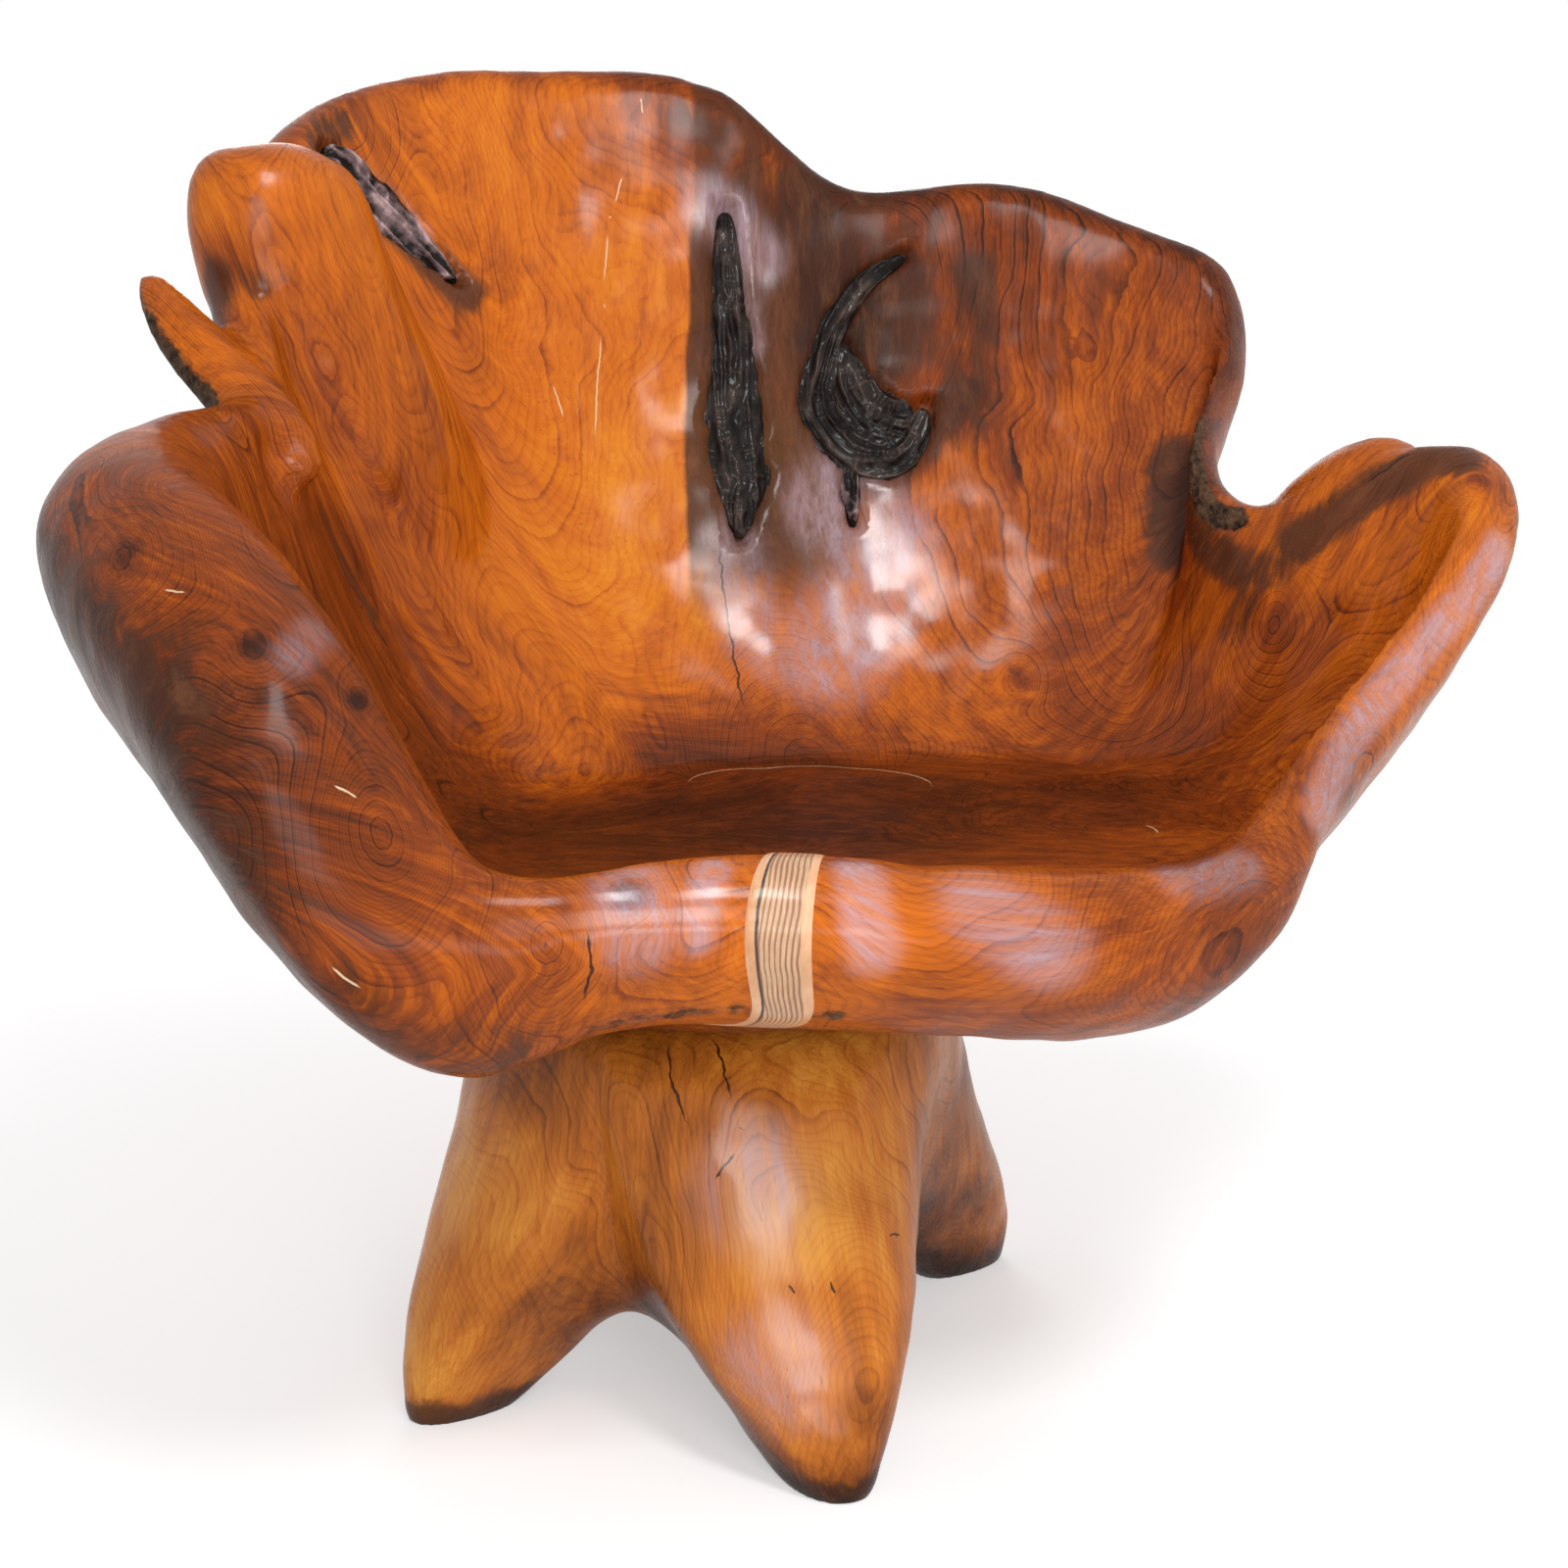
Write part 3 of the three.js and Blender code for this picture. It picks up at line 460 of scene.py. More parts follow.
def ease(values, low, high):
    """A smooth step from 0 at low to 1 at high: t^2 (3 - 2 t)."""
    t = np.clip((values - low) / (high - low), 0, 1)
    return t * t * (3 - 2 * t)


def fade(values, low, high):
    """A smooth step from 1 at low to 0 at high."""
    return 1 - ease(values, low, high)


def lumps(points, size, seed):
    """Smooth value noise from -1 to 1: hashed corners of cubes of one size, blended by smooth steps."""
    cells = points / size
    base = np.floor(cells).astype(np.int64)
    f = cells - base
    f = f * f * (3 - 2 * f)
    total = np.zeros(len(points))
    for corner in range(8):
        offset = np.array([corner & 1, corner >> 1 & 1, corner >> 2])
        key = ((base + offset) * HASH_CORNER).sum(axis=1) + seed * HASH_SEED
        key = (key ^ (key >> 13)) * HASH_MIX & 0x7FFFFFFF
        key = (key ^ (key >> 16)) & 0xFFFF
        weight = np.prod(np.where(offset, f, 1 - f), axis=1)
        total += weight * (key / 32767.5 - 1)
    return total


def layered(points, layers):
    """Smooth noises added up, each given by its height, the size of its lumps and its seed."""
    return sum(height * lumps(points, size, seed) for height, size, seed in layers)


def reach_to(points, line):
    """Distance from each point to the nearest of a line's points, and that point's share along the line."""
    best = np.full(len(points), np.inf)
    share = np.zeros(len(points))
    for k, one in enumerate(line):
        gap = np.linalg.norm(points - one, axis=1)
        nearer = gap < best
        best[nearer] = gap[nearer]
        share[nearer] = k / max(len(line) - 1, 1)
    return best, share


def seat_line(net, places, count=40):
    """Points on the seat's skin along a line of given places."""
    return net_places(net, smooth_line(places, np.linspace(0, 1, count)))


# Where the grain runs on the seat: a pith line's two ends, the radius of the limb round it and how much that
# radius grows along it, in metres
SEAT_PITHS = (
    ((0.0, -0.12, 0.0), (0.0, -0.12, 1.0), 0.2, 0.25), ((-0.3, -0.1, 0.37), (0.3, -0.08, 0.37), 0.07, 0.0),
    ((-0.32, -0.31, 0.4), (0.3, -0.26, 0.38), 0.05, 0.0), ((-0.12, -0.2, 0.3), (-0.5, -0.22, 0.76), 0.12, 0.0),
    ((0.2, -0.02, 0.38), (0.5, -0.06, 0.68), 0.1, 0.0), ((-0.22, 0.12, 0.45), (-0.42, 0.12, 0.92), 0.09, 0.0),
)
# Tones over the seat: place around the rim, place along the profile, how dark and how strong the rings are
SEAT_TONES = (
    (0.33, 0.42, 0.3, 0.5), (0.363, 0.42, 0.4, 0.6), (0.37, 0.36, 0.34, 0.3), (0.4, 0.4, 0.28, 0.25),
    (0.42, 0.35, 0.24, 0.2), (0.4, 0.3, 0.18, 0.35), (0.375, 0.27, 0.3, 0.5), (0.43, 0.28, 0.1, 0.45),
    (0.46, 0.25, 0.3, 0.4), (0.5, 0.25, 0.35, 0.4), (0.56, 0.27, 0.36, 0.6), (0.54, 0.4, 0.66, 0.9),
    (0.57, 0.37, 0.68, 0.8), (0.59, 0.4, 0.6, 0.5), (0.6, 0.34, 0.5, 0.7), (0.59, 0.3, 0.5, 0.8),
    (0.62, 0.28, 0.5, 0.6), (0.66, 0.3, 0.6, 0.5), (0.7, 0.3, 0.54, 0.6), (0.75, 0.31, 0.5, 0.7),
    (0.79, 0.35, 0.4, 0.6), (0.83, 0.36, 0.38, 0.5), (0.8, 0.46, 0.42, 0.4), (0.86, 0.5, 0.45, 0.5),
    (0.84, 0.62, 0.3, 0.8), (0.9, 0.4, 0.5, 0.5), (0.95, 0.5, 0.62, 0.4), (0.985, 0.52, 0.26, 0.4),
    (0.97, 0.62, 0.62, 0.4), (0.93, 0.64, 0.66, 0.6), (0.0, 0.5, 0.16, 0.4), (0.965, 0.52, 0.36, 0.4),
    (0.018, 0.52, 0.22, 0.5), (0.03, 0.56, 0.42, 0.5), (0.05, 0.5, 0.4, 0.6), (0.05, 0.64, 0.5, 0.7),
    (0.09, 0.46, 0.64, 0.7), (0.12, 0.44, 0.7, 0.6), (0.15, 0.48, 0.58, 0.6), (0.18, 0.5, 0.45, 0.5),
    (0.21, 0.47, 0.52, 0.6), (0.14, 0.6, 0.98, 0.6), (0.09, 0.6, 0.82, 0.6), (0.19, 0.6, 0.92, 0.5),
    (0.17, 0.36, 0.62, 0.5), (0.1, 0.32, 0.72, 0.5), (0.22, 0.33, 0.62, 0.6), (0.28, 0.3, 0.7, 0.5),
    (0.31, 0.3, 0.62, 0.5), (0.33, 0.33, 0.42, 0.4), (0.29, 0.5, 0.35, 0.4), (0.25, 0.5, 0.5, 0.5),
    (0.45, 0.1, 0.9, 0.5), (0.45, 0.19, 0.86, 0.5), (0.2, 0.18, 0.85, 0.5), (0.7, 0.18, 0.82, 0.5),
    (0.0, 0.2, 0.82, 0.5), (0.0, 0.35, 0.6, 0.4), (0.45, 0.6, 0.6, 0.7), (0.4, 0.7, 0.55, 0.8),
    (0.6, 0.65, 0.55, 0.8), (0.75, 0.65, 0.5, 0.8), (0.3, 0.7, 0.6, 0.7), (0.15, 0.75, 0.7, 0.7),
    (0.0, 0.8, 0.8, 0.6), (0.9, 0.78, 0.7, 0.6), (0.5, 0.8, 0.65, 0.7),
)
TONE_REACH = 0.09
# The back's upper edge, which is darker: its places, and by how much
CREST_PLACES = [(0.3 + 0.4 * k / 90, 0.47) for k in range(90)]
CREST_TONE = 0.22
CREST_REACH = (0.006, 0.035)
# Waves in the seat's rings: heights, sizes and seeds, for points drawn out along z and for the points themselves
SEAT_WAVE_SHARES = (1, 1, 0.38)
SEAT_RING_WAVES = ((0.02, 0.2, 1), (0.009, 0.085, 2))
SEAT_RING_RIPPLES = ((0.003, 0.035, 5),)
# A dark flaked band along the finger's lower left side, from the finger's middle line
FINGER_DARK_SIDE_SHIFT = np.array([-0.024, -0.012, -0.016])
FINGER_DARK_SIDE_REACH = (0.01, 0.03)
FINGER_DARK_SIDE_STRENGTH = 0.9
FINGER_DARK_SIDE_ALONG = (0.2, 0.9, 30)
# Where the finger's root is dressed flush, how far around and how deep
FINGER_ROOT = np.array([-0.376, -0.002, 0.686])
FINGER_ROOT_REACH = (0.008, 0.04)
FINGER_ROOT_SINK = 0.009
# Knots on the seat: place around the rim, place along the profile, radius in metres and how dark
SEAT_KNOTS = (
    (0.163, 0.52, 0.035, 0.7), (0.13, 0.48, 0.022, 0.8), (0.117, 0.425, 0.02, 0.8), (0.806, 0.4, 0.014, 0.5),
    (0.582, 0.355, 0.012, 0.6), (0.575, 0.255, 0.03, 0.9), (0.817, 0.43, 0.025, 0.7), (0.748, 0.33, 0.06, 0.2),
    (0.088, 0.455, 0.08, 0.0), (0.04, 0.53, 0.06, 0.1), (0.025, 0.5, 0.03, 1.0), (0.363, 0.41, 0.06, 0.2),
    (0.522, 0.368, 0.07, 0.1), (0.473, 0.185, 0.1, 0.1),
)
# Soft marks on the seat, mostly stains but painted crease shade along the groove by the right arm: places along a line,
# half width in metres and strength
SEAT_STAINS_AND_CREASE_SHADE = (
    (((0.462, 0.37), (0.461, 0.33), (0.461, 0.285)), 0.034, 0.6),
    (((0.53, 0.385), (0.508, 0.36), (0.5, 0.33), (0.518, 0.315), (0.545, 0.335), (0.548, 0.37)), 0.03, 0.7),
    (((0.49, 0.345), (0.488, 0.31)), 0.04, 0.35), (((0.517, 0.364), (0.524, 0.35)), 0.036, 0.95),
    (((0.528, 0.374), (0.532, 0.352)), 0.036, 0.9),
    (((0.183, 0.6), (0.16, 0.625), (0.135, 0.625), (0.108, 0.612), (0.09, 0.603)), 0.05, 0.7),
    (((0.36, 0.415), (0.35, 0.4), (0.37, 0.365), (0.388, 0.345)), 0.022, 0.8),
    (((0.298, 0.5), (0.292, 0.57)), 0.022, 0.8), (((0.613, 0.333), (0.619, 0.32), (0.626, 0.312)), 0.03, 0.85),
    (((0.685, 0.388), (0.713, 0.374), (0.745, 0.362)), 0.024, 0.85),
    (((0.14, 0.56), (0.17, 0.58), (0.2, 0.58)), 0.05, 0.8), (((0.06, 0.62), (0.09, 0.6), (0.12, 0.58)), 0.035, 0.6),
    (((0.3, 0.47), (0.296, 0.42)), 0.014, 0.7),
    # Along the groove by the right arm: painted shade in the crease, partly dark stain
    (((0.805, 0.42), (0.785, 0.39), (0.77, 0.378), (0.752, 0.37)), 0.022, 1.0),
    (((0.752, 0.37), (0.735, 0.355), (0.725, 0.33)), 0.016, 0.6),
    (((0.54, 0.365), (0.55, 0.345), (0.547, 0.325)), 0.028, 0.6), (((0.448, 0.395), (0.46, 0.392)), 0.02, 0.5),
    (((0.155, 0.5), (0.168, 0.495)), 0.02, 0.3), (((0.27, 0.42), (0.285, 0.36), (0.305, 0.29)), 0.012, 0.5),
)
SEAT_CRUSTS = (
    (((0.67, 0.42), (0.685, 0.415), (0.707, 0.41), (0.722, 0.415)), 0.014, 1.0),
    (((0.045, 0.645), (0.02, 0.645), (-0.01, 0.64)), 0.009, 0.5),
    (((0.285, 0.6), (0.275, 0.57), (0.272, 0.54)), 0.016, 0.8),
)
# Painted highlights on the seat, a pale lilac colour standing in for the lamps' reflection in the lacquer: places along
# a line, half width in metres and strength. They also raise the coat.
SEAT_PAINTED_HIGHLIGHTS = (
    (((0.456, 0.366), (0.465, 0.362), (0.473, 0.358)), 0.03, 0.9), (((0.466, 0.355), (0.469, 0.335)), 0.018, 0.6),
    (((0.507, 0.305), (0.522, 0.295), (0.512, 0.275), (0.5, 0.26)), 0.055, 0.85),
    (((0.452, 0.285), (0.46, 0.262), (0.48, 0.255)), 0.036, 0.6), (((0.362, 0.385), (0.378, 0.36)), 0.014, 0.6),
    (((0.024, 0.5), (0.022, 0.55)), 0.03, 0.75), (((0.01, 0.48), (0.01, 0.56)), 0.014, 0.9),
    (((-0.012, 0.48), (-0.014, 0.56)), 0.02, 0.9), (((-0.026, 0.5), (-0.034, 0.54)), 0.032, 0.8),
    (((-0.055, 0.46), (-0.07, 0.46)), 0.022, 0.6),
    (((0.832, 0.525), (0.855, 0.525), (0.88, 0.525), (0.9, 0.525)), 0.018, 0.9),
    (((0.13, 0.44), (0.125, 0.46)), 0.016, 0.5),
)
# The brown streak down the back: places down its middle, the x of its sharp left side at the top and how far
# that moves for each metre down. Pairs say between which distances, or between which shares of a forward
# direction, it comes or goes. The last two say how brown it is at each height.
BROWN_STREAK = ((0.489, 0.44), (0.489, 0.38), (0.49, 0.33), (0.485, 0.285))
BROWN_LEFT = -0.055
BROWN_TOP = 0.93
BROWN_DRIFT = 0.05
BROWN_WAVER = ((0.003, 0.05, 15),)
BROWN_LEFT_EDGE = (-0.004, 0.004)
BROWN_RIGHT_EDGE = (0.11, 0.25)
BROWN_FACING = (-0.1, 0.3)
BROWN_REACH = (0.19, 0.22)
BROWN_HEIGHTS = (0.44, 0.5, 0.56, 0.62, 0.68, 0.78, 0.86, 0.93, 1.0)
BROWN_AMOUNTS = (0.0, 0.12, 0.34, 0.8, 1.0, 0.95, 0.8, 0.55, 0.45)
# Pockets that are carved down to the bark: places along a line, and half widths along it in metres
BARK_POCKETS = {
    "bark_left": (((0.352, 0.4), (0.36, 0.383), (0.37, 0.368), (0.387, 0.348)), (0.01, 0.022, 0.02, 0.005)),
    "bark_middle": (
        ((0.462, 0.366), (0.461, 0.345), (0.462, 0.33), (0.46, 0.315), (0.461, 0.303), (0.458, 0.289)),
        (0.009, 0.014, 0.018, 0.026, 0.024, 0.007),
    ),
    "bark_crescent": (
        (
            (0.529, 0.381), (0.517, 0.371), (0.507, 0.355), (0.502, 0.342), (0.5, 0.331), (0.508, 0.324),
            (0.519, 0.321), (0.53, 0.323), (0.536, 0.333),
        ),
        (0.006, 0.009, 0.011, 0.013, 0.016, 0.019, 0.021, 0.018, 0.01),
    ),
    "bark_hollow": (((0.509, 0.35), (0.513, 0.339), (0.521, 0.332), (0.532, 0.329)), (0.008, 0.019, 0.027, 0.018)),
    "bark_tail": (((0.512, 0.32), (0.512, 0.31), (0.513, 0.302)), (0.006, 0.008, 0.003)),
}
# Bark whose crests take a painted highlight: pale pinkish glints standing in for the lamps' reflection
BARK_WITH_PAINTED_GLINTS = ("bark_left", "bark_tail")
# Lines scratched or cracked in the seat's skin: places along each line
SEAT_SCRATCHES = (
    ((0.437, 0.405), (0.437, 0.394)), ((0.43, 0.372), (0.427, 0.364)), ((0.4245, 0.357), (0.422, 0.345)),
    ((0.42, 0.335), (0.4165, 0.323), (0.413, 0.31)), ((0.405, 0.324), (0.4065, 0.316)),
    ((0.337, 0.335), (0.335, 0.325)),
    ((0.393, 0.15), (0.412, 0.17), (0.448, 0.172), (0.505, 0.163), (0.548, 0.14), (0.563, 0.12)),
    ((0.823, 0.145), (0.86, 0.147)), ((0.102, 0.467), (0.097, 0.455)), ((0.146, 0.5), (0.15, 0.51)),
    ((0.088, 0.55), (0.08, 0.552)),
)
SEAT_CRACKS = (
    ((0.293, 0.322), (0.293, 0.308)), ((0.3, 0.297), (0.304, 0.286)), ((0.032, 0.53), (0.031, 0.57), (0.036, 0.61)),
    ((0.79, 0.42), (0.782, 0.4), (0.776, 0.392)), ((0.448, 0.29), (0.447, 0.26), (0.446, 0.235)),
)
# Cracks in the front of the base, as points in metres
BASE_CRACKS = (
    ((-0.098, -0.121, 0.295), (-0.094, -0.125, 0.275), (-0.091, -0.138, 0.25)),
    ((-0.131, -0.11, 0.292), (-0.128, -0.118, 0.265), (-0.12, -0.14, 0.235)),
    ((-0.09, -0.158, 0.222), (-0.106, -0.159, 0.204)), ((-0.06, -0.2, 0.142), (-0.055, -0.202, 0.136)),
    ((-0.03, -0.2, 0.142), (-0.026, -0.202, 0.134)), ((0.02, -0.17, 0.16), (0.03, -0.162, 0.157)),
)
# How far from a line its places are kept on the vertices
LINE_REACH = 0.014
# Tones over the base: a point in metres, how dark and how strong the rings are
BASE_TONES = (
    (-0.19, -0.1, 0.26, 0.44, 0.35), (-0.26, -0.08, 0.16, 0.2, 0.25), (-0.28, -0.08, 0.11, 0.22, 0.25),
    (-0.28, -0.1, 0.05, 0.06, 0.2), (-0.14, -0.13, 0.25, 0.36, 0.4), (-0.08, -0.14, 0.25, 0.22, 0.55),
    (-0.02, -0.14, 0.25, 0.24, 0.55), (0.04, -0.1, 0.22, 0.3, 0.5), (-0.08, -0.16, 0.21, 0.12, 0.6),
    (-0.07, -0.19, 0.16, 0.26, 0.15), (-0.07, -0.22, 0.1, 0.24, 0.1), (-0.02, -0.2, 0.12, 0.34, 0.2),
    (-0.13, -0.14, 0.15, 0.4, 0.3), (-0.18, -0.1, 0.12, 0.4, 0.25), (-0.07, -0.23, 0.03, 0.62, 0.2),
    (-0.06, -0.23, 0.06, 0.42, 0.2), (0.12, 0.08, 0.1, 0.5, 0.2), (0.15, 0.09, 0.04, 0.42, 0.2),
    (-0.1, 0.25, 0.15, 0.4, 0.5), (-0.25, 0.15, 0.15, 0.45, 0.4),
)
BASE_TONE_REACH = 0.06
# A highlight painted on the front of the base, where the lamps' reflection falls, as points in metres
BASE_PAINTED_HIGHLIGHTS = ((-0.08, -0.17, 0.2), (-0.07, -0.22, 0.09))
BASE_PAINTED_HIGHLIGHT_REACH = (0.02, 0.07)
BASE_PAINTED_HIGHLIGHT_STRENGTH = 0.6
# Waves in the base's rings and in its tone: heights, sizes and seeds
BASE_RING_WAVES = ((0.014, 0.11, 3), (0.006, 0.04, 4))
BASE_TONE_WAVES = ((0.14, 0.09, 6), (0.12, 0.03, 8))
# The feet are darker, and faces turned down get painted shade: between which heights or directions, and by how much
FOOT_HEIGHTS = (0.0, 0.05)
FOOT_TONE = 0.32
UNDERSIDE_SHADE_FACING = (0.1, 0.6)
UNDERSIDE_PAINTED_SHADE = 0.35
SOLE_HEIGHTS = (0.002, 0.03)
SOLE_STAIN = 0.9
FOOT_STAIN = 0.3
# The base's pith lines: the stump's radius as a share of its top's and how much it grows upward; how far from the
# axis a leg's pith starts at the top, and the leg's radius
STUMP_RADIUS_SHARE = 1.05
STUMP_FLARE = -0.1
LEG_PITH_OFFSET = 0.06
LEG_PITH_RADIUS = 0.075
# Heights between which the carver's marks begin over the floor and end under the bearing
SOLE_CLEARANCE = (0.004, 0.02)
TOP_CLEARANCE = (0.275, 0.292)
# Rings round a knot: their wavering, the stretch of their oval, and the edge of the dark middle as shares of the
# knot's radius
KNOT_WAVER = ((0.004, 0.025, 41),)
KNOT_OVAL = (1.2, 1.0, 0.75)
KNOT_EDGE = (0.1, 0.6)
# The soft edge of a mark as shares of its half width
MARK_EDGE = (0.3, 1.4)
# The edge of a pocket as shares of its half width, how far it slopes beyond that, and how ragged it is
POCKET_EDGE = (0.55, 1.1)
POCKET_SLOPE = 0.002
POCKET_RAGGEDNESS = ((0.18, 0.011, 21),)
# The carver's marks: their waves, as shares of the depth and sizes in metres, and the share that lies below the skin
CARVED_WAVES = ((1, 0.05), (0.5, 0.022))
CARVED_SINK = 0.6
# How deep the pockets are, how much wider the bark in them is, its half thickness, how deep its middle lies, and
# how much its folds are drawn out along it
POCKET_DEPTH = 0.012
BARK_SPREAD = 1.2
BARK_HALF_THICKNESS = 0.006
BARK_SINK = 0.0095
BARK_STRETCH = 0.12
BARK_GRID = (88, 260)
# The folds of the bark, as heights and sizes: long ones, how they waver, and the lumps that cross them; then how
# thick their pattern is, and the first seed and the next pocket's step
BARK_FOLDS = ((0.45, 0.0075), (0.25, 0.0035))
BARK_WAVER = (0.004, 0.012)
BARK_LUMPS = (0.3, 0.011)
BARK_PATTERN_THICKNESS = 0.01
BARK_SEED = 31
BARK_SEED_STEP = 5
# The pale strip in the front lip: its sides around the rim and its ends along the profile
INLAY_AROUND = (-0.0065, 0.0025)
INLAY_ALONG = (0.42, 0.7)
INLAY_DEPTH = 0.01
INLAY_GRID = (25, 121)
STRIP_EDGE_POWER = 8
STRIP_CLEARANCE = (0.03, 0.08)
# At which tones the wood's colours stand, and how bright its darkest is as a share of the heart's
WOOD_TONES = (0.0, 0.3, 0.6, 0.85, 1.0)
DARKEST_SHARE = 0.4
# Colours with their places: the smoky stain, also used for painted crease shade, the painted highlight, the crust's
# flakes and the filler beside the strip
SMOKE_STOPS = ((0.3, (0.018, 0.008, 0.006)), (0.5, (0.05, 0.02, 0.011)), (0.72, (0.15, 0.05, 0.019)))
PAINTED_HIGHLIGHT_STOPS = ((0.35, (0.6, 0.33, 0.3)), (0.65, (0.66, 0.5, 0.6)))
FLAKE_STOPS = ((0.35, (0.018, 0.012, 0.009)), (0.7, (0.17, 0.09, 0.05)))
FILLER_STOPS = ((0.35, (0.62, 0.27, 0.11)), (0.65, (0.85, 0.5, 0.28)))
SCRATCH_COLOUR = (0.85, 0.62, 0.4)
CRACK_COLOUR = (0.025, 0.01, 0.006)
# The dark joint at the strip's left, partly painted shade in the gap
JOINT_AND_GAP_SHADE_COLOUR = (0.03, 0.014, 0.008)
# The bearing's metals: colour of the soil on them, roughness, and how fine their streaks are
METALS = {
    "ball_steel": ((0.2, 0.16, 0.12), 0.16, 900.0),
    "sheet_steel": ((0.07, 0.05, 0.035), 0.4, 300.0),
    "cage_brass": ((0.12, 0.09, 0.05), 0.36, 500.0),
    "screw_steel": ((0.14, 0.12, 0.1), 0.34, 900.0),
}


def limb_grain(points, piths):
    """Ring depth and grain coordinates from pith lines.

    Depth is the mean of each distance less the limb's radius, weighed by exp(-|depth| / k). Grain is the point
    pressed together along each pith by the same weights, so that a pattern on it runs along the limb.
    """
    softness = 0.03
    press = 0.92
    depths, ways = [], []
    for start, end, radius, flare in piths:
        start, end = np.array(start), np.array(end)
        way = unit(end - start)
        offset = points - start
        along = offset @ way
        depths.append(np.linalg.norm(offset - along[:, None] * way, axis=1) - radius - flare * along)
        ways.append(way)
    depths = np.stack(depths)
    weights = np.exp(-(np.abs(depths) - np.abs(depths).min(axis=0)) / softness)
    weights /= weights.sum(axis=0)
    depth = np.sum(weights * depths, axis=0)
    drawn = sum(weight[:, None] * (points @ way)[:, None] * way for weight, way in zip(weights, ways))
    return depth, points - press * drawn


def knotted(points, depth, knots, centres):
    """Rings drawn round each knot: the smooth minimum of the depth and an oval, wavering distance to the knot."""
    dark = np.zeros(len(points))
    softness = 0.01
    blunt = 0.008
    wobble = layered(points, KNOT_WAVER)
    for (*_, radius, darkness), centre in zip(knots, centres):
        distance = np.linalg.norm(points - centre, axis=1)
        oval = np.sum(((points - centre) * KNOT_OVAL) ** 2, axis=1)
        here = depth[np.argmin(distance)] - radius + np.sqrt(oval + blunt**2) + wobble
        depth = -softness * np.logaddexp(-depth / softness, -here / softness)
        dark = np.maximum(dark, darkness * fade(distance, *(edge * radius for edge in KNOT_EDGE)))
    return depth, dark


def toned(points, centres, values, reach):
    """Given values spread over the skin: their mean, each weighed by exp(-(distance / reach)^2)."""
    total = np.zeros(len(points))
    sums = np.zeros((len(points), values.shape[1]))
    for centre, value in zip(centres, values):
        weight = np.exp(-np.sum((points - centre) ** 2, axis=1) / reach**2) + 1e-12
        total += weight
        sums += weight[:, None] * value
    return (sums / total[:, None]).T


def marks(points, net, table):
    """The strongest of several soft marks, each along a line of places on the skin."""
    total = np.zeros(len(points))
    for places, half_width, strength in table:
        distance, _ = reach_to(points, seat_line(net, places))
        total = np.maximum(total, strength * fade(distance, *(edge * half_width for edge in MARK_EDGE)))
    return total


def line_places(points, out, lines):
    """How each vertex lies to the nearest of several lines, as a vector.

    x is the distance across the line, signed, over its reach. y runs from -1 to 1 along the line and on past
    its ends. z is 1 beside the line and 0 out of its reach, where the other two mean nothing.
    """
    nearest = np.full(len(points), np.inf)
    places = np.zeros((len(points), 3))
    for line in lines:
        distance, share = reach_to(points, line)
        steps = np.linspace(0, 1, len(line))
        forward = np.gradient(line, axis=0)
        length = np.linalg.norm(forward, axis=1).sum()
        foot = np.stack([np.interp(share, steps, part) for part in line.T], axis=1)
        way = unit(np.stack([np.interp(share, steps, part) for part in forward.T], axis=1))
        side = np.cross(out, way)
        offset = points - foot
        across = np.sum(offset * side, axis=1) / LINE_REACH
        along = 2 * share - 1 + 2 * np.sum(offset * way, axis=1) / length
        here = np.stack([across, along, fade(distance, LINE_REACH, 1.5 * LINE_REACH)], axis=1)
        closer = distance < nearest
        places[closer] = here[closer]
        nearest[closer] = distance[closer]
    return places


def widths_along(half_widths, share):
    """Half widths that are given at even steps along a line, at any share of it."""
    return np.interp(share * (len(half_widths) - 1), np.arange(len(half_widths)), half_widths)


def pocket_cuts(points, net):
    """How far the skin is cut back at each point: the pocket's depth inside its ragged outline."""
    cut = np.zeros(len(points))
    ragged = 1 + layered(points, POCKET_RAGGEDNESS)
    for places, half_widths in BARK_POCKETS.values():
        distance, share = reach_to(points, seat_line(net, places, count=90))
        width = widths_along(half_widths, share) * ragged
        start, end = POCKET_EDGE[0] * width, POCKET_EDGE[1] * width + POCKET_SLOPE
        cut = np.maximum(cut, POCKET_DEPTH * fade(distance, start, end))
    return cut


def carved(points, depth, seed):
    """The carver's marks: how far they lift the skin, which is less than nothing for most of it."""
    waves = [(height, size, seed + k) for k, (height, size) in enumerate(CARVED_WAVES)]
    return depth * (layered(points, waves) - CARVED_SINK)


class Wire:
    """A node's output that takes part in sums: each operator adds one Math node."""

    def __init__(self, board, socket):
        self.board = board
        self.socket = socket

    def __add__(self, other):
        return self.board.math("ADD", self, other)

    def __sub__(self, other):
        return self.board.math("SUBTRACT", self, other)

    def __rsub__(self, other):
        return self.board.math("SUBTRACT", other, self)

    def __mul__(self, other):
        return self.board.math("MULTIPLY", self, other)

    def __truediv__(self, other):
        return self.board.math("DIVIDE", self, other)

    def __pow__(self, other):
        return self.board.math("POWER", self, other)

    __radd__ = __add__


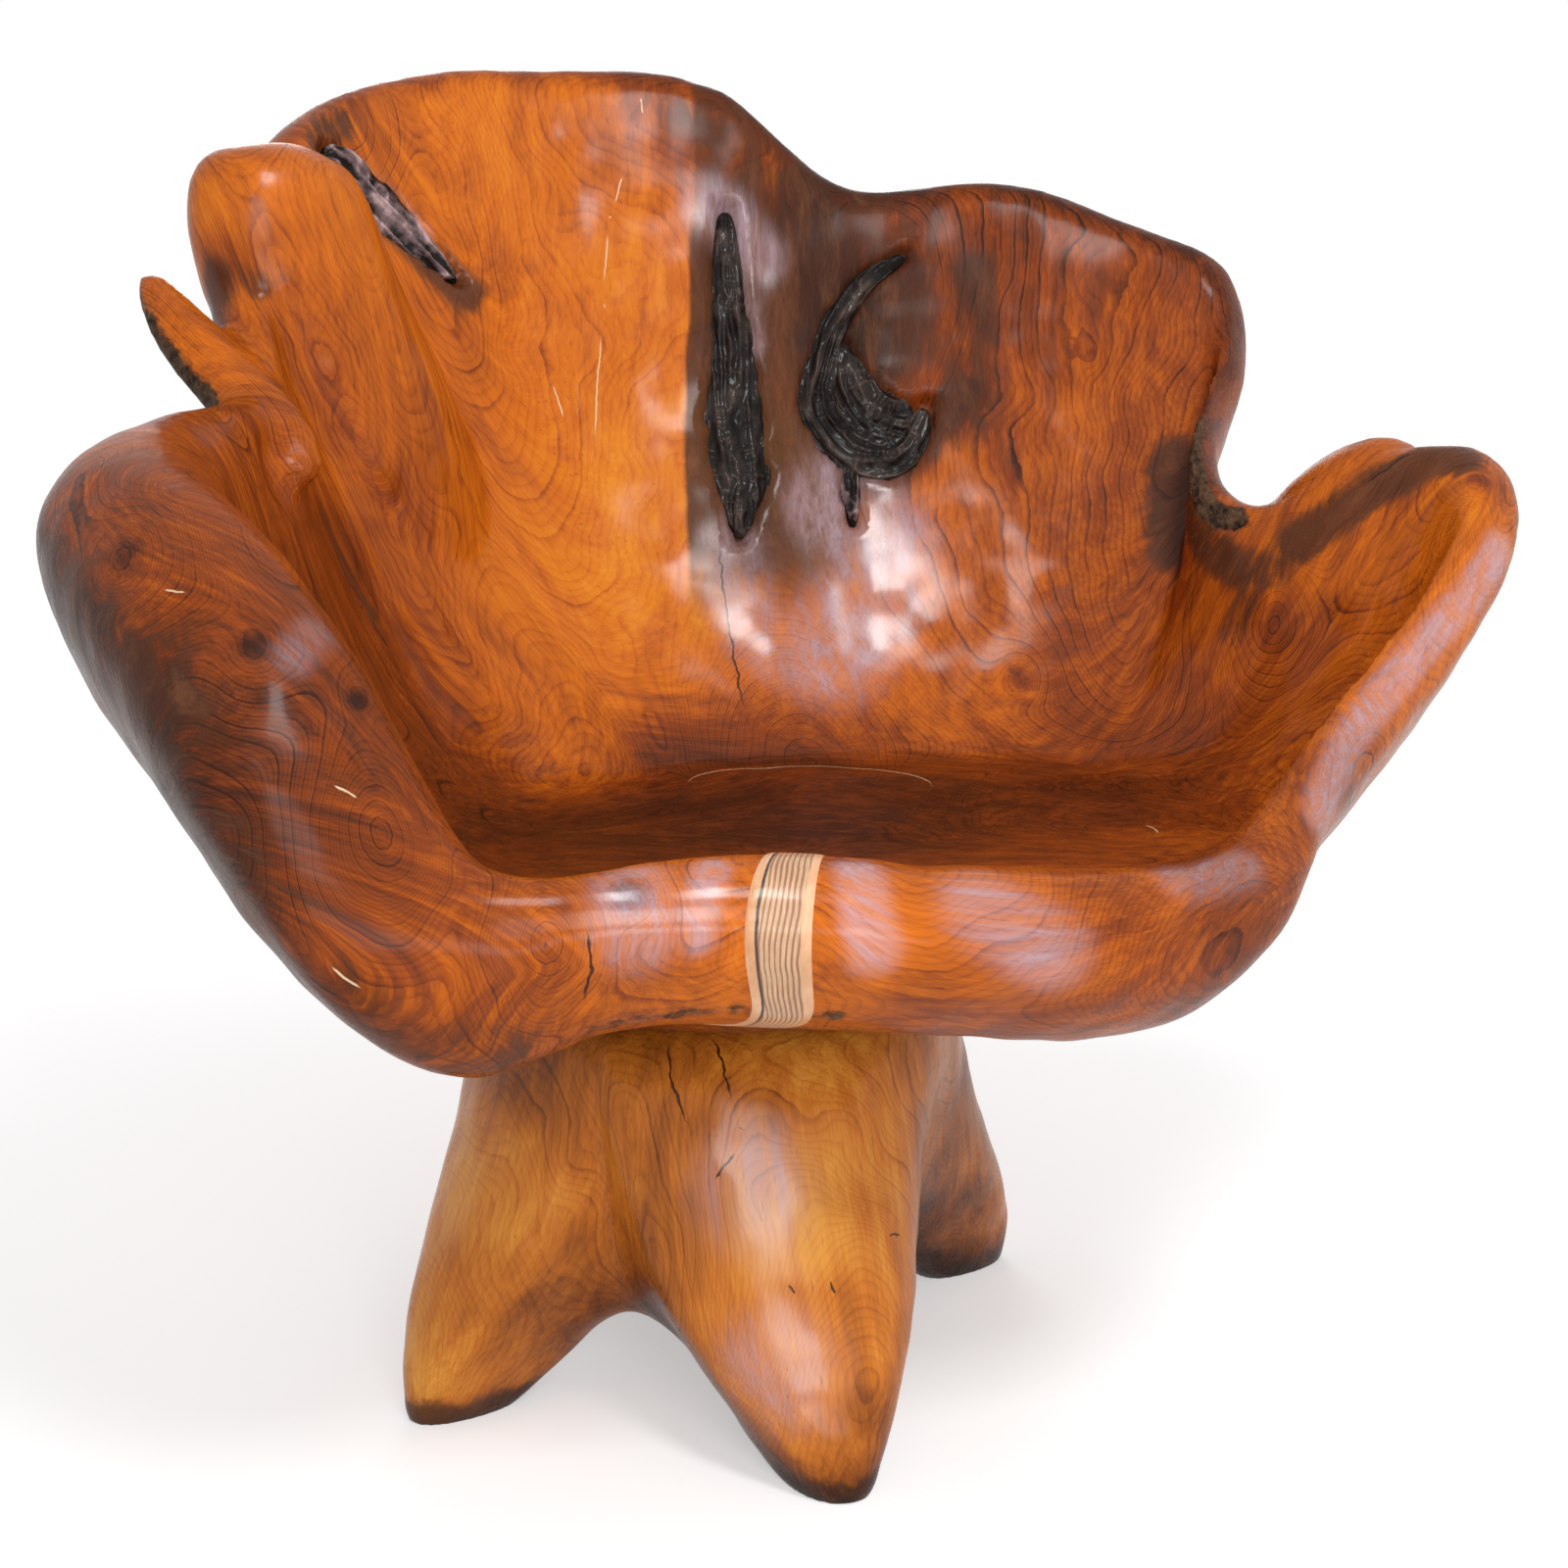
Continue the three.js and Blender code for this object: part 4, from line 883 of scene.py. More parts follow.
class Board:
    """The node tree of a material or a world, built one node at a time."""

    def __init__(self, owner):
        owner.use_nodes = True
        self.owner = owner
        self.tree = owner.node_tree

    def node(self, kind, settings, sockets, output=0):
        """Adds a node, sets its settings, then its sockets' values or links, and gives one output."""
        node = self.tree.nodes.new(kind)
        for name, value in settings.items():
            if name == "stops":
                while len(node.color_ramp.elements) < len(value):
                    node.color_ramp.elements.new(1)
                for element, (position, colour) in zip(node.color_ramp.elements, value):
                    element.position = position
                    element.color = (*colour, 1)
            else:
                setattr(node, name, value)
        for key, value in sockets.items():
            self.plug(node.inputs[key], value)
        return Wire(self, node.outputs[output])

    def plug(self, socket, value):
        """Links a wire to a socket, or sets the socket's own value."""
        if isinstance(value, Wire):
            self.tree.links.new(value.socket, socket)
        else:
            socket.default_value = value

    def math(self, operation, *terms):
        """One Math node."""
        return self.node("ShaderNodeMath", {"operation": operation}, dict(enumerate(terms)))

    def finish(self, **sockets):
        """Sets the surface shader's own sockets, whose names are written with underscores."""
        for name, value in sockets.items():
            if isinstance(value, tuple):
                value = (*value, 1)
            self.plug(self.tree.nodes["Principled BSDF"].inputs[name.replace("_", " ")], value)
        return self.owner

    def value(self, name):
        """A number kept on the mesh's vertices."""
        return self.node("ShaderNodeAttribute", {"attribute_name": name}, {}, "Fac")

    def place(self, name=None):
        """Object coordinates, or a vector kept on the mesh's vertices."""
        if name:
            return self.node("ShaderNodeAttribute", {"attribute_name": name}, {}, "Vector")
        return self.node("ShaderNodeTexCoord", {}, {}, "Object")

    def seen(self):
        """1 on rays that show the background: those of the camera, of reflections and through glass."""
        outputs = ("Is Camera Ray", "Is Glossy Ray", "Is Transmission Ray")
        camera, glossy, through = (self.node("ShaderNodeLightPath", {}, {}, output) for output in outputs)
        return self.math("MAXIMUM", self.math("MAXIMUM", camera, glossy), through)

    def stretched(self, vector, x, y, z):
        """A vector times one number for each axis."""
        return self.node("ShaderNodeVectorMath", {"operation": "MULTIPLY"}, {0: vector, 1: (x, y, z)})

    def thin_line(self, name, half_width, waver):
        """1 on the lines whose places are kept on the vertices, narrower towards their ends."""
        places = self.place(name)
        across, along, near = (self.node("ShaderNodeSeparateXYZ", {}, {0: places}, part) for part in range(3))
        away = self.math("ABSOLUTE", across + waver)
        end = self.step(self.math("ABSOLUTE", along), 1.0, 0.6)
        return self.step(away - end * half_width, 0.02, -0.02) * self.step(near, 0.5, 0.9) * end

    def cloud(self, vector, scale, detail=2.0, roughness=0.5, warp=0.0):
        """Noise about 0.5."""
        sockets = {"Vector": vector, "Scale": scale, "Detail": detail, "Roughness": roughness, "Distortion": warp}
        return self.node("ShaderNodeTexNoise", {}, sockets, "Fac")

    def luck(self, value):
        """A random number for each whole number."""
        return self.node("ShaderNodeTexWhiteNoise", {"noise_dimensions": "1D"}, {"W": value}, "Value")

    def step(self, value, low, high):
        """A smooth step from 0 at low to 1 at high, or down where high is the lower."""
        sockets = {"Value": value, "From Min": low, "From Max": high}
        return self.node("ShaderNodeMapRange", {"interpolation_type": "SMOOTHSTEP"}, sockets)

    def blend(self, factor, low, high):
        """A colour between two, each a tuple or a wire."""
        low, high = ((*one, 1) if isinstance(one, tuple) else one for one in (low, high))
        return self.node("ShaderNodeMix", {"data_type": "RGBA"}, {0: factor, 6: low, 7: high}, 2)

    def ramp(self, value, *stops):
        """A colour ramp."""
        return self.node("ShaderNodeValToRGB", {"stops": stops}, {0: value})

    def bump(self, height, strength, distance):
        """A normal bent by a height."""
        return self.node("ShaderNodeBump", {}, {"Height": height, "Strength": strength, "Distance": distance})


def lacquered_wood(name, stops, spacing):
    """Wood under lacquer, from values kept on the vertices.

    The fraction of ring depth over spacing ends in a thin dark line, whose strength is drawn anew for each
    ring. The kept tone sets how dark the wood is, and streaks and fibres run along the grain.
    """
    board = Board(bpy.data.materials.new(name))
    grain = board.place("grain")
    spot = board.place()
    tone = board.value("tone")
    lines = board.value("lines")
    wobble = board.cloud(spot, 8.0, 3.0, 0.5) - 0.5
    fine = board.cloud(spot, 60.0, 3.0, 0.6) - 0.5
    phase = board.value("rings") / spacing + wobble * 1.6 + fine * 0.22
    saw = board.math("FRACT", phase)
    chance = board.luck(board.math("FLOOR", phase))
    thin = board.step(saw, 0.74, 0.97) ** 2.0 * board.step(saw, 1.0, 0.975)
    blotch = board.cloud(spot, 11.0, 4.0, 0.6, 0.8)
    line = thin * lines * (chance * 0.8 + 0.2) * board.step(blotch, 0.35, 0.6)
    between = board.math("FRACT", phase * 3.0 + fine * 0.3)
    shadow = saw * saw * lines * chance
    fibre = board.cloud(grain, 420.0, 4.0, 0.65)
    streak = board.cloud(grain, 70.0, 5.0, 0.6, 0.4)
    sheen = board.cloud(grain, 22.0, 4.0, 0.6, 0.8)
    shade = (
        tone
        + line * 0.42
        + shadow * 0.1
        + board.step(between, 0.5, 1.0) * 0.08
        + (streak - 0.5) * 0.6
        + (sheen - 0.5) * 0.42
        + (blotch - 0.5) * 0.42
        + (fibre - 0.5) * 0.34
    )
    shade = shade + board.value("dark") * board.step(blotch, 0.2, 0.6) * 0.5
    colour = board.ramp(shade, *stops)
    smoke = board.ramp(streak + (sheen - 0.5) * 0.5 + (fibre - 0.5) * 0.3, *SMOKE_STOPS)
    brown = board.value("brown")
    brown = board.step(brown + brown * ((streak - 0.5) * 0.9 + (sheen - 0.5) * 0.7), 0.12, 0.75)
    colour = board.blend(brown * 0.9, colour, smoke)
    # Stains, and on the seat the painted shade in the groove by the right arm, turn the wood smoky dark
    stain = board.value("stain")
    stained = board.step(stain + (streak - 0.5) * 1.1 + (blotch - 0.5) * 0.8, 0.25, 0.85)
    colour = board.blend(stained * 0.85, colour, smoke)
    # Painted highlight: pale lilac colour where marks are kept, standing in for the lamps' reflection in the lacquer;
    # the coat is thicker there too
    painted_highlight_mask = board.value("haze")
    wisp = board.cloud(grain, 150.0, 3.0, 0.6, 1.5)
    haze = board.step(painted_highlight_mask + painted_highlight_mask * ((wisp - 0.5) * 1.3 + (streak - 0.5) * 1.5), 0.05, 1.3)
    colour = board.blend(haze * 0.55, colour, board.ramp(streak, *PAINTED_HIGHLIGHT_STOPS))
    crust = board.step(board.value("crust") + (board.cloud(spot, 70.0, 4.0, 0.7) - 0.5) * 1.3, 0.35, 0.7)
    flakes = board.ramp(board.cloud(spot, 120.0, 4.0, 0.7), *FLAKE_STOPS)
    colour = board.blend(crust, colour, flakes)
    pore = board.step(board.cloud(grain, 640.0, 2.0, 0.5), 0.66, 0.74) * 0.35
    colour = board.blend(pore, colour, stops[-1][1])
    scratch = board.thin_line("scratches", 0.045, fine * 0.25)
    colour = board.blend(scratch * 0.85, colour, SCRATCH_COLOUR)
    crack = board.thin_line("cracks", 0.055, fine * 0.7)
    colour = board.blend(crack * 0.9, colour, CRACK_COLOUR)
    relief = streak * 0.9 + fibre * 0.5 + crust * fine * 5.0 - line * 0.2 - crack * 2.0
    return board.finish(
        Base_Color=colour,
        Roughness=0.27 + (fibre - 0.5) * 0.3 + crust * 0.25,
        Specular_IOR_Level=0.06,
        Coat_Weight=0.36 + (sheen - 0.5) * 0.4 + painted_highlight_mask * 0.6 - tone * 0.3 - crust * 0.25 - brown * 0.12,
        Coat_Roughness=0.17,
        Normal=board.bump(relief, 0.65, 0.004),
    )


def crumpled_bark(name, dark, pale):
    """Bark under lacquer: dark in its folds, paler on their crests, which are kept on the vertices."""
    board = Board(bpy.data.materials.new(name))
    spot = board.place()
    fold = board.value("fold")
    grit = board.cloud(spot, 160.0, 4.0, 0.7)
    patch = board.cloud(spot, 35.0, 3.0, 0.6)
    shade = fold + (grit - 0.5) * 0.8 + (patch - 0.5) * 1.2
    middle = tuple(0.7 * a + 0.3 * b for a, b in zip(dark, pale))
    return board.finish(
        Base_Color=board.ramp(shade, (0.3, dark), (0.65, middle), (1.0, pale)),
        Roughness=0.36 + (grit - 0.5) * 0.3,
        Specular_IOR_Level=0.06,
        Coat_Weight=0.16 + (patch - 0.5) * 0.7,
        Coat_Roughness=0.12,
        Normal=board.bump(grit + fold * 0.5, 0.5, 0.003),
    )


def strip_wood(name, pale, line):
    """Pale wood with fine dark lines down its middle, filler at both sides of them, and a dark joint at its left that
    is partly painted shade of the gap.
    """
    board = Board(bpy.data.materials.new(name))
    spot = board.place()
    across = board.value("across")
    rough = board.cloud(spot, 45.0, 4.0, 0.65) - 0.5
    waver = (board.cloud(board.stretched(spot, 0.5, 1.0, 1.0), 14.0, 2.0, 0.5) - 0.5) * 0.45
    waves = board.math("SINE", (across + waver) * 75.0)
    threads = board.step(waves + rough * 2.2, 0.0, 0.7)
    fibre = board.cloud(board.stretched(spot, 1.0, 0.1, 0.1), 700.0, 4.0, 0.6)
    straw = board.ramp(fibre, (0.3, tuple(0.7 * part for part in pale)), (0.7, pale))
    colour = board.blend(threads * 0.85, straw, line)
    beside = board.step(board.math("ABSOLUTE", across + rough * 0.12 - 0.52), 0.32, 0.36)
    filler = board.ramp(board.cloud(spot, 30.0, 4.0, 0.6), *FILLER_STOPS)
    colour = board.blend(beside, colour, filler)
    # Dark joint line at the left side, partly painted shade in the gap
    joint_and_gap_shade = board.step(board.math("ABSOLUTE", across + rough * 0.05 - 0.185), 0.035, 0.012)
    colour = board.blend(joint_and_gap_shade, colour, JOINT_AND_GAP_SHADE_COLOUR)
    return board.finish(
        Base_Color=colour,
        Roughness=0.34 + (fibre - 0.5) * 0.3,
        Coat_Weight=0.3,
        Coat_Roughness=0.15,
        Normal=board.bump(fibre * 0.6 - threads * 0.5 - joint_and_gap_shade * 2.0 + rough, 0.35, 0.002),
    )


def worked_metal(name, colour):
    """Metal with rolled streaks, small scuffs and a little soil in patches."""
    soiled, roughness, scale = METALS[name]
    board = Board(bpy.data.materials.new(name))
    spot = board.place()
    rolled = board.cloud(board.stretched(spot, 1.0, 0.05, 1.0), scale, 4.0, 0.6)
    patch = board.step(board.cloud(spot, 0.12 * scale, 4.0, 0.65), 0.5, 0.68)
    return board.finish(
        Base_Color=board.blend(patch * 0.7 + (rolled - 0.5) * 0.4, colour, soiled),
        Metallic=1.0 - patch * 0.35,
        Roughness=roughness + (rolled - 0.5) * 0.3 + patch * 0.2,
        Normal=board.bump(rolled - patch * 0.5, 0.2, 0.0006),
    )


def tint(name, description, default):
    """A colour setting."""
    return bpy.props.FloatVectorProperty(name=name, description=description, default=default, size=3, subtype="COLOR")


def span(name, description, default, least=0):
    """A length setting in metres."""
    return bpy.props.FloatProperty(name=name, description=description, default=default, min=least, unit="LENGTH")


def angle(name, description, default):
    """An angle setting, whose default is given in degrees."""
    default = math.radians(default)
    return bpy.props.FloatProperty(name=name, description=description, default=default, unit="ROTATION")


def watts(name, description, default):
    """A lamp's power."""
    return bpy.props.FloatProperty(name=name, description=description, default=default, min=0, unit="POWER")


class SeatSettings(bpy.types.PropertyGroup):
    """Fineness and finish of the seat."""

    fineness: span("Fineness", "Edge of the skin's faces", 0.0058, 0.003)
    smoothing: bpy.props.IntProperty(name="Smoothing", description="Rounds of smoothing", default=5, min=0)
    tool_marks: span("Tool marks", "Depth of the carver's marks", 0.0016)
    ring_spacing: span("Ring spacing", "Wood between two rings", 0.0062, 0.002)
    pale: tint("Pale wood", "Colour of the palest wood", (0.86, 0.28, 0.012))
    bright: tint("Bright wood", "Colour of the bright wood", (0.66, 0.15, 0.006))
    brown: tint("Brown wood", "Colour of the brown wood", (0.29, 0.053, 0.005))
    heart: tint("Heartwood", "Colour of the dark heart", (0.1, 0.02, 0.004))


class BarkSettings(bpy.types.PropertyGroup):
    """Finish of the bark in the seat's pockets."""

    fold_depth: span("Fold depth", "Height of the bark's folds", 0.006)
    dark: tint("Dark bark", "Colour in the folds", (0.01, 0.007, 0.006))
    pale: tint("Pale bark", "Colour on the crests", (0.075, 0.05, 0.04))
    # Colour of the painted glints on the crests, standing in for the lamps' reflection
    painted_shine: tint("Glossy bark", "Colour on glossy crests", (0.62, 0.42, 0.42))


class InlaySettings(bpy.types.PropertyGroup):
    """Finish of the strip in the front lip."""

    rise: span("Rise", "How far the strip stands proud", 0.0008)
    pale: tint("Strip", "Colour of the strip", (0.72, 0.45, 0.25))
    line: tint("Lines", "Colour of the strip's lines", (0.3, 0.09, 0.035))


class BaseSettings(bpy.types.PropertyGroup):
    """Finish of the base."""

    tool_marks: span("Tool marks", "Depth of the carver's marks", 0.0016)
    ring_spacing: span("Ring spacing", "Wood between two rings", 0.006, 0.002)
    pale: tint("Pale wood", "Colour of the palest wood", (0.86, 0.36, 0.05))
    bright: tint("Bright wood", "Colour of the bright wood", (0.62, 0.18, 0.018))
    brown: tint("Brown wood", "Colour of the brown wood", (0.3, 0.078, 0.01))
    heart: tint("Heartwood", "Colour of the dark heart", (0.12, 0.032, 0.008))


class BearingSettings(bpy.types.PropertyGroup):
    """Colours of the swivel bearing."""

    sheet: tint("Plates", "Colour of the plates", (0.2, 0.19, 0.18))
    ball: tint("Balls", "Colour of the balls", (0.6, 0.6, 0.62))
    cage: tint("Cage", "Colour of the cage", (0.5, 0.34, 0.12))
    screw: tint("Screws", "Colour of the screws", (0.42, 0.41, 0.38))


class StageSettings(bpy.types.PropertyGroup):
    """The camera, the floor and the lights."""

    eye: bpy.props.FloatVectorProperty(
        name="Camera",
        description="Where the camera stands",
        size=3,
        subtype="XYZ",
        unit="LENGTH",
        default=(-0.3027, -1.5545, 0.745),
    )
    heading: angle("Heading", "Turn of the camera about the vertical", -10)
    dip: angle("Dip", "How far the camera looks down", 10.6)
    lens: bpy.props.FloatProperty(name="Lens", description="Focal length", default=49.5, subtype="DISTANCE_CAMERA")
    overhead: watts("Overhead light", "Power of the overhead light", 18)
    front: watts("Front light", "Power of the front light", 11)
    back: watts("Back light", "Power of the light behind", 22)
    low: watts("Low light", "Power of the low light", 9)
    room: bpy.props.FloatProperty(name="Room light", description="Strength of the light all round", default=0.45, min=0)
    floor: tint("Floor", "Colour of the floor", (0.86, 0.86, 0.86))


def wood_stops(settings):
    """The wood's colours from pale to the darkest, at their tones."""
    colours = [tuple(getattr(settings, part)) for part in ("pale", "bright", "brown", "heart")]
    darkest = tuple(DARKEST_SHARE * part for part in colours[-1])
    return tuple(zip(WOOD_TONES, (*colours, darkest)))


def brown_streak(points, out, net):
    """The brown streak: a hard edge at its left, a soft one at its right, and nothing on the outer skin."""
    beside = points[:, 0] - BROWN_LEFT - (points[:, 2] - BROWN_TOP) * BROWN_DRIFT
    beside += layered(points, BROWN_WAVER)
    middle, _ = reach_to(points, seat_line(net, BROWN_STREAK, count=60))
    brown = ease(beside, *BROWN_LEFT_EDGE) * fade(beside, *BROWN_RIGHT_EDGE) * ease(-out[:, 1], *BROWN_FACING)
    return brown * np.interp(points[:, 2], BROWN_HEIGHTS, BROWN_AMOUNTS) * fade(middle, *BROWN_REACH)


def seat_fields(points, out, net):
    """What the seat's wood reads from its vertices."""
    depth, grain = limb_grain(points, SEAT_PITHS)
    depth += layered(points * SEAT_WAVE_SHARES, SEAT_RING_WAVES) + layered(points, SEAT_RING_RIPPLES)
    depth, dark = knotted(points, depth, SEAT_KNOTS, net_places(net, SEAT_KNOTS))
    table = np.array(SEAT_TONES)
    tone, lines = toned(points, net_places(net, table), table[:, 2:], TONE_REACH)
    crest, _ = reach_to(points, net_places(net, CREST_PLACES))
    # A dark flaked band along the finger's lower left side
    finger = smooth_line(np.array(FINGER["line"]) * SEAT_SCALE + DRAWING_SHIFT, np.linspace(*FINGER_DARK_SIDE_ALONG))
    side, _ = reach_to(points, finger + FINGER_DARK_SIDE_SHIFT)
    return {
        "rings": depth,
        "grain": grain,
        "tone": tone + CREST_TONE * fade(crest, *CREST_REACH),
        "lines": lines,
        "dark": dark,
        "brown": brown_streak(points, out, net),
        "stain": marks(points, net, SEAT_STAINS_AND_CREASE_SHADE),
        "crust": np.maximum(marks(points, net, SEAT_CRUSTS), FINGER_DARK_SIDE_STRENGTH * fade(side, *FINGER_DARK_SIDE_REACH)),
        # Painted highlights standing in for the lamps' reflection in the lacquer
        "haze": marks(points, net, SEAT_PAINTED_HIGHLIGHTS),
        "scratches": line_places(points, out, [seat_line(net, line) for line in SEAT_SCRATCHES]),
        "cracks": line_places(points, out, [seat_line(net, line) for line in SEAT_CRACKS]),
    }


def seat_relief(points, net, tool_marks):
    """How far each vertex moves out: the carver's marks away from the strip, the finger's root and the pockets."""
    strip, _ = reach_to(points, seat_line(net, [(np.mean(INLAY_AROUND), end) for end in INLAY_ALONG]))
    root = np.linalg.norm(points - FINGER_ROOT, axis=1)
    worked = carved(points, tool_marks * ease(strip, *STRIP_CLEARANCE), seed=11)
    return worked - FINGER_ROOT_SINK * fade(root, *FINGER_ROOT_REACH) - pocket_cuts(points, net)


class CHAIR_OT_seat(bpy.types.Operator):
    """Make the bowl seat with its lobe, finger and ridge"""

    bl_idname = "chair.seat"
    bl_label = "Seat"

    def execute(self, context):
        settings = context.scene.chair_seat
        net = seat_net()
        shells = [outward_shell(rings) for rings in (skin_grid(net, SEAT_GRID), *(limb_rings(**one) for one in LIMBS))]
        mesh = fused("seat_burl", shells, settings.fineness, settings.smoothing)
        points, out = vertex_vectors(mesh, "co"), vertex_vectors(mesh, "normal")
        keep(mesh, **seat_fields(points, out, net))
        relief = seat_relief(points, net, settings.tool_marks)
        place(mesh, np.clip(points + out * relief[:, None], *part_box("seat_body")))
        wood = lacquered_wood("seat_wood", wood_stops(settings), settings.ring_spacing)
        add_piece(mesh, "seat", "seat_wood", wood, "seat_body")
        return {"FINISHED"}


def ridges(points, size, seed):
    """Narrow crests between 0 and 1: 1 - 2 |noise|, cut off at 0."""
    return np.maximum(1 - 2 * np.abs(lumps(points, size, seed)), 0)


def bark_rings(net, places, half_widths, fold_depth, seed):
    """A flat limb of bark sunk in a pocket, and how high its folds stand at each vertex.

    Ovals carried along the line of places, whose upper side is raised by ridges drawn out along it.
    """
    share = (1 - np.cos(np.linspace(0, math.pi, BARK_GRID[1]))) / 2
    on_skin = smooth_line(places, share)
    line = net_places(net, on_skin)
    out = net_normals(net, on_skin)
    forward = np.gradient(line, axis=0)
    across = unit(np.cross(out, forward))
    width = widths_along(half_widths, share)
    girth = np.clip(1 - np.abs(2 * share - 1) ** 6, 0, 1) ** (1 / 3)
    turn = np.linspace(0, 2 * math.pi, BARK_GRID[0], endpoint=False)[:, None]
    wide = BARK_SPREAD * np.cos(turn) * girth * width
    length = np.cumsum(np.linalg.norm(forward, axis=1))
    drawn = np.broadcast_to(BARK_STRETCH * length, wide.shape)
    pattern = np.stack([wide, drawn, np.sin(turn) * girth * BARK_PATTERN_THICKNESS], axis=-1).reshape(-1, 3)
    pattern[:, 0] += layered(pattern, [(*BARK_WAVER, seed + 2)])
    fold = sum(height * ridges(pattern, size, seed + k) for k, (height, size) in enumerate(BARK_FOLDS))
    pattern[:, 1] /= BARK_STRETCH
    fold += BARK_LUMPS[0] * ridges(pattern, BARK_LUMPS[1], seed + 3)
    fold = fold.reshape(wide.shape)
    upper = np.sqrt(np.maximum(np.sin(turn), 0)) * girth
    high = np.sin(turn) * girth * BARK_HALF_THICKNESS - BARK_SINK + fold_depth * fold * upper
    return line + across * wide[..., None] + out * high[..., None], fold


class CHAIR_OT_bark(bpy.types.Operator):
    """Make the bark that shows in the seat's pockets"""

    bl_idname = "chair.bark"
    bl_label = "Bark"

    def execute(self, context):
        settings = context.scene.chair_bark
        net = seat_net()
        dull = crumpled_bark("bark", tuple(settings.dark), tuple(settings.pale))
        # This bark's crests take the painted glint colour instead of pale bark
        glossy = crumpled_bark("glossy_bark", tuple(settings.dark), tuple(settings.painted_shine))
        for k, (name, (places, half_widths)) in enumerate(BARK_POCKETS.items()):
            seed = BARK_SEED + BARK_SEED_STEP * k
            rings, fold = bark_rings(net, places, half_widths, settings.fold_depth, seed)
            mesh = mesh_of(name, outward_shell(rings))
            keep(mesh, fold=np.concatenate([fold[:1, 0], fold[:, 1:-1].T.ravel(), fold[:1, -1]]))
            add_piece(mesh, "seat", "seat_wood", glossy if name in BARK_WITH_PAINTED_GLINTS else dull)
        return {"FINISHED"}


def inlay_rings(net, rise):
    """The strip as a closed bar: its top a little above the net's skin, its underside below it, flat ends.

    The top falls off at its two sides by the eighth power of the share across. Also gives each ring vertex's
    share across the strip.
    """
    share = np.linspace(0, 1, INLAY_GRID[0])
    along = np.linspace(*INLAY_ALONG, INLAY_GRID[1])
    around = INLAY_AROUND[0] + (INLAY_AROUND[1] - INLAY_AROUND[0]) * share[::-1]
    places = np.stack(np.meshgrid(around, along, indexing="ij"), axis=-1).reshape(-1, 2)
    skin = net_places(net, places).reshape(len(share), len(along), 3)
    out = net_normals(net, places).reshape(skin.shape)
    top = skin + out * (rise * (1 - (2 * share - 1) ** STRIP_EDGE_POWER))[:, None, None]
    bottom = (skin - out * INLAY_DEPTH)[::-1]
    bar = np.concatenate([top, bottom])
    ends = [np.broadcast_to(bar[:, [end]].mean(axis=0), (len(bar), 1, 3)) for end in (0, -1)]
    return np.concatenate([ends[0], bar, ends[1]], axis=1), np.concatenate([share, share[::-1]])


class CHAIR_OT_inlay(bpy.types.Operator):
    """Make the pale strip in the front lip"""

    bl_idname = "chair.inlay"
    bl_label = "Front strip"

    def execute(self, context):
        settings = context.scene.chair_inlay
        rings, across = inlay_rings(seat_net(), settings.rise)
        mesh = mesh_of("front_strip", outward_shell(rings))
        keep(mesh, across=np.concatenate([across[:1], np.tile(across, rings.shape[1] - 2), across[:1]]))
        mesh.set_sharp_from_angle(angle=math.radians(40))
        material = strip_wood("inlay_wood", tuple(settings.pale), tuple(settings.line))
        add_piece(mesh, "seat", "inlay_wood", material, "front_inlay")
        return {"FINISHED"}


def base_piths():
    """Pith lines of the base: the stump, and one down each leg."""
    middle = SWIVEL + DRAWING_SHIFT
    piths = [(tuple(middle), tuple(middle + (0, 0, 1)), STUMP_RADIUS_SHARE * BASE_TOP_RADIUS, STUMP_FLARE)]
    for leg in LEGS:
        turn = math.radians(leg["azimuth"])
        way = np.array([math.cos(turn), math.sin(turn), 0])
        foot = middle + way * leg["reach_share"] * LEG_REACH
        start = middle + way * LEG_PITH_OFFSET + (0, 0, BASE_HEIGHT)
        piths.append((tuple(start), tuple(foot), LEG_PITH_RADIUS, 0.0))
    return piths


def base_fields(points, out):
    """What the base's wood reads from its vertices."""
    depth, grain = limb_grain(points, base_piths())
    high = points[:, 2]
    foot = fade(high, *FOOT_HEIGHTS)
    table = np.array(BASE_TONES)
    tone, lines = toned(points, table[:, :3], table[:, 3:], BASE_TONE_REACH)
    # Darker towards the feet, with painted shade on faces turned down
    tone += FOOT_TONE * foot + UNDERSIDE_PAINTED_SHADE * ease(-out[:, 2], *UNDERSIDE_SHADE_FACING) + layered(points, BASE_TONE_WAVES)
    # Painted highlight on the front of the base
    painted_shine, _ = reach_to(points, np.array(BASE_PAINTED_HIGHLIGHTS))
    cracks = [smooth_line(line, np.linspace(0, 1, num=30)) for line in BASE_CRACKS]
    return {
        "rings": depth + layered(points, BASE_RING_WAVES),
        "grain": grain,
        "tone": tone,
        "lines": lines,
        "stain": SOLE_STAIN * fade(high, *SOLE_HEIGHTS) + FOOT_STAIN * foot,
        "cracks": line_places(points, out, cracks),
        "haze": BASE_PAINTED_HIGHLIGHT_STRENGTH * fade(painted_shine, *BASE_PAINTED_HIGHLIGHT_REACH),
    }


